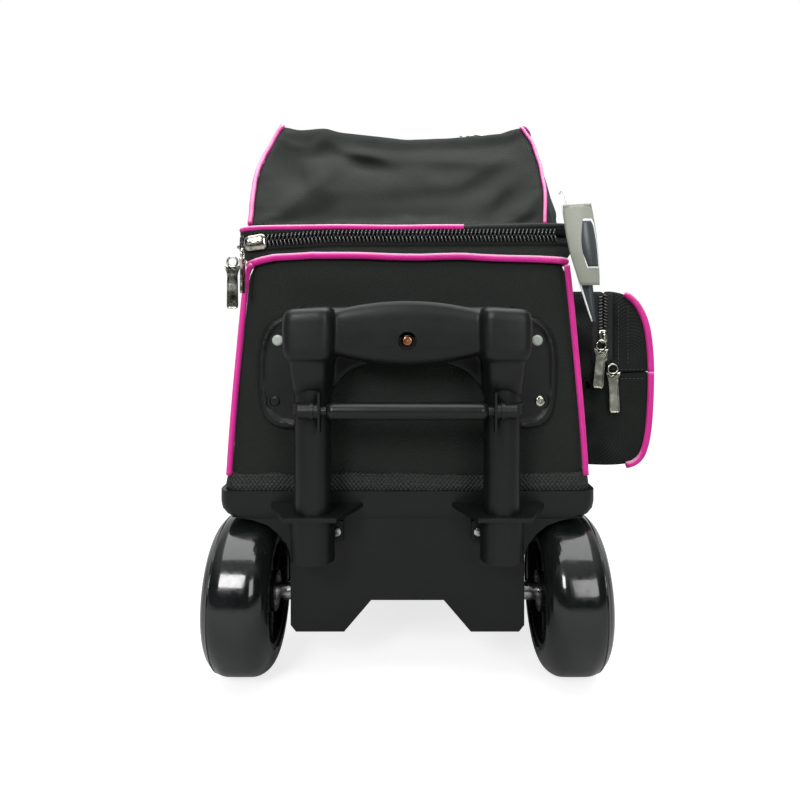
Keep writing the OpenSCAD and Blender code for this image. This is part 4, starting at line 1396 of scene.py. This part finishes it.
def make_wheels():
    for side, name in ((-1, "left"), (1, "right")):
        lo, hi = mm_box(f"{name}_tyre")
        inner = hi[0] if side < 0 else lo[0]
        centre = (inner, (lo[1] + hi[1]) / 2, (lo[2] + hi[2]) / 2)
        radius = (hi[2] - lo[2]) / 2
        width = hi[0] - lo[0]
        hub = radius - 18
        lip = ((0.05, 1.2), (0.3, 0.4), (0.8, 0.05), (1.4, 0.0), (1.8, 0.4), (2.2, 0.1))
        profile = [(hub + rise, out) for rise, out in lip]
        profile += arc(radius - 15.5, 15.5, 15.5, -88, -4, 22)
        profile += [(radius, 17.5), (radius + 0.05, 21), (radius + 0.05, 27), (radius, 30)]
        shoulder = arc(radius - 16.5, width - 16.5, 16.5, 2, 88, 26)
        seam = 9
        profile += shoulder[:seam]
        r, x = shoulder[seam]
        # The moulding's parting line
        profile += [(r + rise, x + along_x) for rise, along_x in
                    ((0.05, -0.5), (0.45, -0.25), (0.5, 0), (0.3, 0.4), (-0.1, 0.7))]
        profile += shoulder[seam + 2:]
        profile += [(hub + 1.0, width - 0.3), (hub + 0.5, width - 0.8), (hub + 0.05, width - 1.8)]
        tyre = lathe(f"{name}_tyre_moulding", profile, centre, side, "tyre", f"{name}_wheel", 144)
        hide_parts(f"{name}_tyre")


# ---- Zip pulls and sliders ----


def torus(radius, wire, steps=36, sides=12):
    points, faces = [], []
    for i in range(steps):
        a = TAU * i / steps
        for k in range(sides):
            b = TAU * k / sides
            r = radius + wire * math.cos(b)
            points.append((r * math.cos(a), wire * math.sin(b), r * math.sin(a)))
            j, m = (i + 1) % steps, (k + 1) % sides
            faces.append((i * sides + k, i * sides + m, j * sides + m, j * sides + k))
    return points, faces


def place_hardware(node, shapes, place, axes, width_mm, degrees):
    """Places closed shapes, given along their own axes, as the metal piece that stands for a node."""
    axes, place = np.array(axes, float), np.array(place, float)
    world = [([tuple(np.array(p, float) @ axes + place) for p in shape], faces) for shape, faces in shapes]
    dress(solid(node + "_metal", world), "nickel", node, node, width_mm, degrees)


def make_pull(node, place, axes, length):
    """A ring and a notched flat bar with a raised border. axes are the pull's x, y and z directions."""
    crown = [(-1.8, -5.9), (-2.6, -4.6), (-3.6, -3.5), (-5.6, -2.9), (-6.2, -3.4), (-5.6, -5.4), (-4.4, -8.6),
             (-4.0, -11.5), (-4.2, -16), (-4.4, -length + 2.4), (-4.0, -length + 0.6), (-3.0, -length)]
    outline = crown + [(-x, z) for x, z in reversed(crown)] + [(0.9, -5.3), (0, -5.0), (-0.9, -5.3)]
    middle = np.array([0.0, -length * 0.55])

    def shrunk(by):
        out = []
        for k, p in enumerate(outline):
            a, b = np.array(outline[k - 1], float), np.array(outline[(k + 1) % len(outline)], float)
            t = (b - a) / max(np.linalg.norm(b - a), 1e-6)
            inward = np.array([t[1], -t[0]])
            if inward.dot(middle - np.array(p)) < 0:
                inward = -inward
            out.append(np.array(p) + inward * by)
        return out

    # The raised border: how far in, and how far out from the bar's middle plane
    border = [(1.25, -0.62), (1.0, -1.0), (0.35, -1.06), (0.0, -0.7)]
    border += [(by, -y) for by, y in reversed(border)]
    bar = layers([[(p[0], y, p[1]) for p in shrunk(by)] for by, y in border])
    staple, staple_faces = torus(1.7, 0.6, 20, 8)
    staple = [(x, y, z - 5.0) for x, y, z in staple]
    place_hardware(node, [bar, torus(4.0, 0.85), (staple, staple_faces)], place, axes, 0.25, 35)


def make_slider(node, place, axes, length, width):
    """A domed slider with a waisted body and a bridge. x runs along the zip and z stands off it."""

    def ring(grow, z, wave=0.0):
        points = []
        for k in range(36):
            u, v = soft_corner(TAU * k / 36, 0.62)
            x = u * (length / 2 - grow)
            waist = 1 - 0.13 * math.cos(math.pi * x / length) ** 2 - 0.10 * (x > 0) * abs(2 * x / length)
            y = v * (width / 2 - grow) * waist
            points.append((x, y, z + wave * (1 - (2 * y / width) ** 2)))
        return points

    base = layers([ring(0.7, 0.1), ring(0.0, 0.5), ring(0.0, 1.9), ring(0.35, 2.5, 0.2), ring(1.2, 2.9, 0.5),
                   ring(2.6, 3.1, 0.7), ring(4.4, 3.1, 0.8)])
    bend = ((-0.30, 2.6), (-0.30, 4.6), (-0.18, 5.6), (0.16, 5.5), (0.30, 4.4), (0.30, 2.6))
    bridge = smooth_path([(length * share, 0, z) for share, z in bend], 2)
    rows = sweep_rows(resample(bridge, 0.8), 1.25, 12)
    arch = layers([[tuple(p) for p in row] for row in rows])
    place_hardware(node, (base, arch), place, axes, 0.3, 40)


def seat(node, direction, gap):
    """A node's middle moved to gap mm inside the face its direction points to, and what is left of its size."""
    lo, hi = mm_box(node)
    place = (lo + hi) / 2
    k = int(np.argmax(np.abs(direction)))
    place[k] = hi[k] - gap if direction[k] > 0 else lo[k] + gap
    return place, hi[k] - lo[k] - gap


def turned(degrees):
    """Upright axes turned about y."""
    c, s = math.cos(math.radians(degrees)), math.sin(math.radians(degrees))
    return [(c, 0, -s), (0, 1, 0), (s, 0, c)]


def make_hardware():
    droop = math.radians(9)
    along_rear = [(-math.cos(droop), 0, -math.sin(droop)), (math.sin(droop), 0, -math.cos(droop)), (0, -1, 0)]
    down = [(0, 0, -1), (-1, 0, 0), (0, -1, 0)]
    # Per zip: the slider's axes, its length and width, and the pull's axes
    for name, slider_axes, size, pull_axes in (
        ("rear", along_rear, (17, 13.5), [(0, 1, 0), (-1, 0, 0), (0, 0, 1)]),
        ("side", [(0, -1, 0), (0, 0, 1), (-1, 0, 0)], (16, 13), turned(0)),
        ("upper_pocket", down, (12, 10), turned(5)),
        ("lower_pocket", down, (12, 10), turned(-2)),
        ("pouch", [(0, 1, 0), (-1, 0, 0), (0, 0, 1)], (12, 10), [(0, 1, 0), (0, 0, 1), (-1, 0, 0)]),
    ):
        place, _ = seat(f"{name}_slider", -np.array(slider_axes[2]), 0.1)
        make_slider(f"{name}_slider", place, slider_axes, *size)
        place, length = seat(f"{name}_pull", np.array(pull_axes[2]), 4)
        make_pull(f"{name}_pull", place, pull_axes, length)


# ---- Tag, strap and foam ----


def make_tag():
    """A folded card with a blank dark panel, on a plastic loop."""
    _, hi = mm_box("hang_tag")
    pin = np.array([116, -29.5, hi[2] + 3.6])

    def leaf(name, edges, height, turn, bulge, offset, material, thick=0.4):
        """edges: left and right edge at the top, half way and at the bottom; height: top and bottom."""
        across = np.array([math.cos(turn), math.sin(turn), 0.0])
        out = np.array([math.sin(turn), -math.cos(turn), 0.0])
        rows = []
        for t in np.linspace(0, 1, 22):
            sides = [a * (1 - t) * (1 - 2 * t) + 4 * b * t * (1 - t) + c * t * (2 * t - 1) for a, b, c in edges]
            row = []
            for share in np.linspace(0, 1, 14):
                x = sides[0] + (sides[1] - sides[0]) * share
                stand = offset + bulge * math.sin(math.pi * min(1, t * 1.15) * 0.5)
                stand += 0.9 * math.sin(math.pi * share)
                drop = np.array([0, 0, height[0] + (height[1] - height[0]) * t])
                row.append(pin + across * x + out * stand + drop)
            rows.append(row)
        return put_grid(name, rows, False, material, "tag", thickness=thick)

    front_turn, back_turn = math.radians(-20), math.radians(-8)
    card, panel, border = "tag_card", "tag_panel", "tag_white"
    leaf("tag_back_leaf", ((-2, 7, 19), (14, 18, 21)), (-3.6, -88), back_turn, 0.0, -1.1, panel)
    leaf("tag_back_edge", ((-2.8, 6.0, 18.6), (-2, 7, 19)), (-3.6, -88), back_turn, 0.0, -0.9, border)
    front = leaf("tag_front_leaf", ((-2, 2, 11), (18, 22.5, 24)), (-3.6, -62), front_turn, 2.4, 0.4, card)
    frame_edges = ((8.5, 9.5, 13.5), (19.2, 22.2, 23.6))
    leaf("tag_frame", frame_edges, (-14, -50), front_turn, 1.95, 1.35, border, 0.2)
    panel_edges = ((9.6, 10.6, 14.6), (18.7, 21.7, 23.1))
    leaf("tag_blank_panel", panel_edges, (-15.3, -48.7), front_turn, 1.9, 1.62, panel, 0.2)
    across = np.array([math.cos(front_turn), math.sin(front_turn), 0.0])
    fold = [pin + across * x + np.array([0, 0, -4.0]) for x in np.linspace(-2, 18, 14)]
    tube_piece("tag_fold", np.array(fold), 1.5, "tag_card", "tag", sides=14)
    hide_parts("hang_tag")
    bends = [(0, 0, -4), (-0.4, -0.6, 2), (-1.5, 0.4, 7), (-3.0, 2.0, 8.5), (-3.8, 3.6, 6)]
    loop_path = pin + smooth_path(bends, 3)
    cord = tube_piece("tag_loop", resample(loop_path, 0.8), 0.7, "tag_white", "tag", sides=10)
    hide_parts("tag_fastener")


STRAP_Z = 252


def make_strap_and_foam():
    face = FRONT_Y + 0.8
    half = [(76, 2.0), (58, 2.4), (46, 5.2), (20, 8.6)]
    run = [(-x, face + out, STRAP_Z) for x, out in half] + [(x, face + out, STRAP_Z) for x, out in reversed(half)]
    path = resample(smooth_path(run, 3), 2.5)
    rows = []
    for z in np.linspace(-12, 12, 9):
        crown = 0.5 * math.cos(z / 12 * math.pi / 2)
        rows.append([(x, y + crown, STRAP_Z + z + 0.2 * bump_field(x, y, z, 15, 2)) for x, y, _ in path])
    rows = [row[::-1] for row in rows]
    strap = put_grid("grab_strap_webbing", rows, False, "webbing", "bag", thickness=-1.8)
    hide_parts("grab_strap")
    for x in (-72, -60, 60, 72):
        line = [(x, face + 4.6, z) for z in np.linspace(242, 262, 12)]
        stitches(f"strap_stitches_{'left' if x < 0 else 'right'}_{abs(x)}", line, (0, 1, 0), "bag", 3.0)
    source = NODES["ball_foam"]
    foam = source.copy()
    foam.data = source.data.copy()
    foam.name = "ball_foam_block"
    foam.parent = None
    foam.animation_data_clear()
    bpy.context.scene.collection.objects.link(foam)
    for key in list(foam.keys()):
        del foam[key]
    foam.matrix_world = source.matrix_world.copy()
    remesh = foam.modifiers.new("fuse", "REMESH")
    remesh.mode = "VOXEL"
    remesh.voxel_size = 0.0045
    bake(foam)
    relax = foam.modifiers.new("relax", "SMOOTH")
    relax.factor = 0.5
    relax.iterations = 4
    bake(foam)
    foam.data.materials.clear()
    foam.data.materials.append(MATERIALS["foam"])
    foam.data.shade_smooth()
    soften(foam, 1)
    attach(foam, "bag")
    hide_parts("ball_foam")


# ---- Finishes for the CAD nodes that stay, and the widths of their soft edges in millimetres ----

FINISH = {
    "black_moulding": (
        "base_tray tube_ledges front_stand grip_upper grip_lower release_button cross_bar_clamps"
    ),
    "steel": (
        "ledge_screws stub_axles axle_nuts axle_spacers foot_screws left_bearings right_bearings "
        "bracket_backing_plate grip_screws button_spring"
    ),
    "foot_rubber": "foot_pads",
    "hub_plastic": "left_hub right_hub left_hub_cap right_hub_cap",
    "tube_paint": "outer_tubes cross_bar",
    "bush": "guide_bushes",
    "tube_metal": "stage_1_tubes stage_2_tubes stage_3_tubes stage_4_tubes",
    "grip_sleeve": "cross_bar_sleeve",
    "board": "wall_boards lid_board",
}
BEVELS = {
    "base_tray": 2.0, "tube_ledges": 0.7, "front_stand": 1.4, "grip_upper": 0.5, "grip_lower": 0.5,
    "foot_pads": 0.4, "cross_bar_clamps": 0.3, "left_hub": 0.5, "right_hub": 0.5, "left_hub_cap": 0.6, "right_hub_cap": 0.6,
}


def finish_nodes():
    finishes = {name: material for material, names in FINISH.items() for name in names.split()}
    for name, node in NODES.items():
        if name not in finishes:
            continue
        node.data.materials.clear()
        node.data.materials.append(MATERIALS[finishes[name]])
        weld = node.modifiers.new("weld", "WELD")
        weld.merge_threshold = 0.00002
        if name in BEVELS:
            bevel(node, BEVELS[name], 38, 3)
        normals = node.modifiers.new("normals", "WEIGHTED_NORMAL")
        normals.keep_sharp = True
        node.data.shade_smooth()


def main():
    make_camera()
    make_studio()
    MATERIALS.update(make_materials())
    for name, material in MATERIALS.items():
        material.name = name
    make_body()
    make_body_trim()
    make_band()
    make_coil()
    make_pouch()
    make_pocket()
    make_bracket()
    make_wheels()
    make_hardware()
    make_tag()
    make_strap_and_foam()
    finish_nodes()


main()
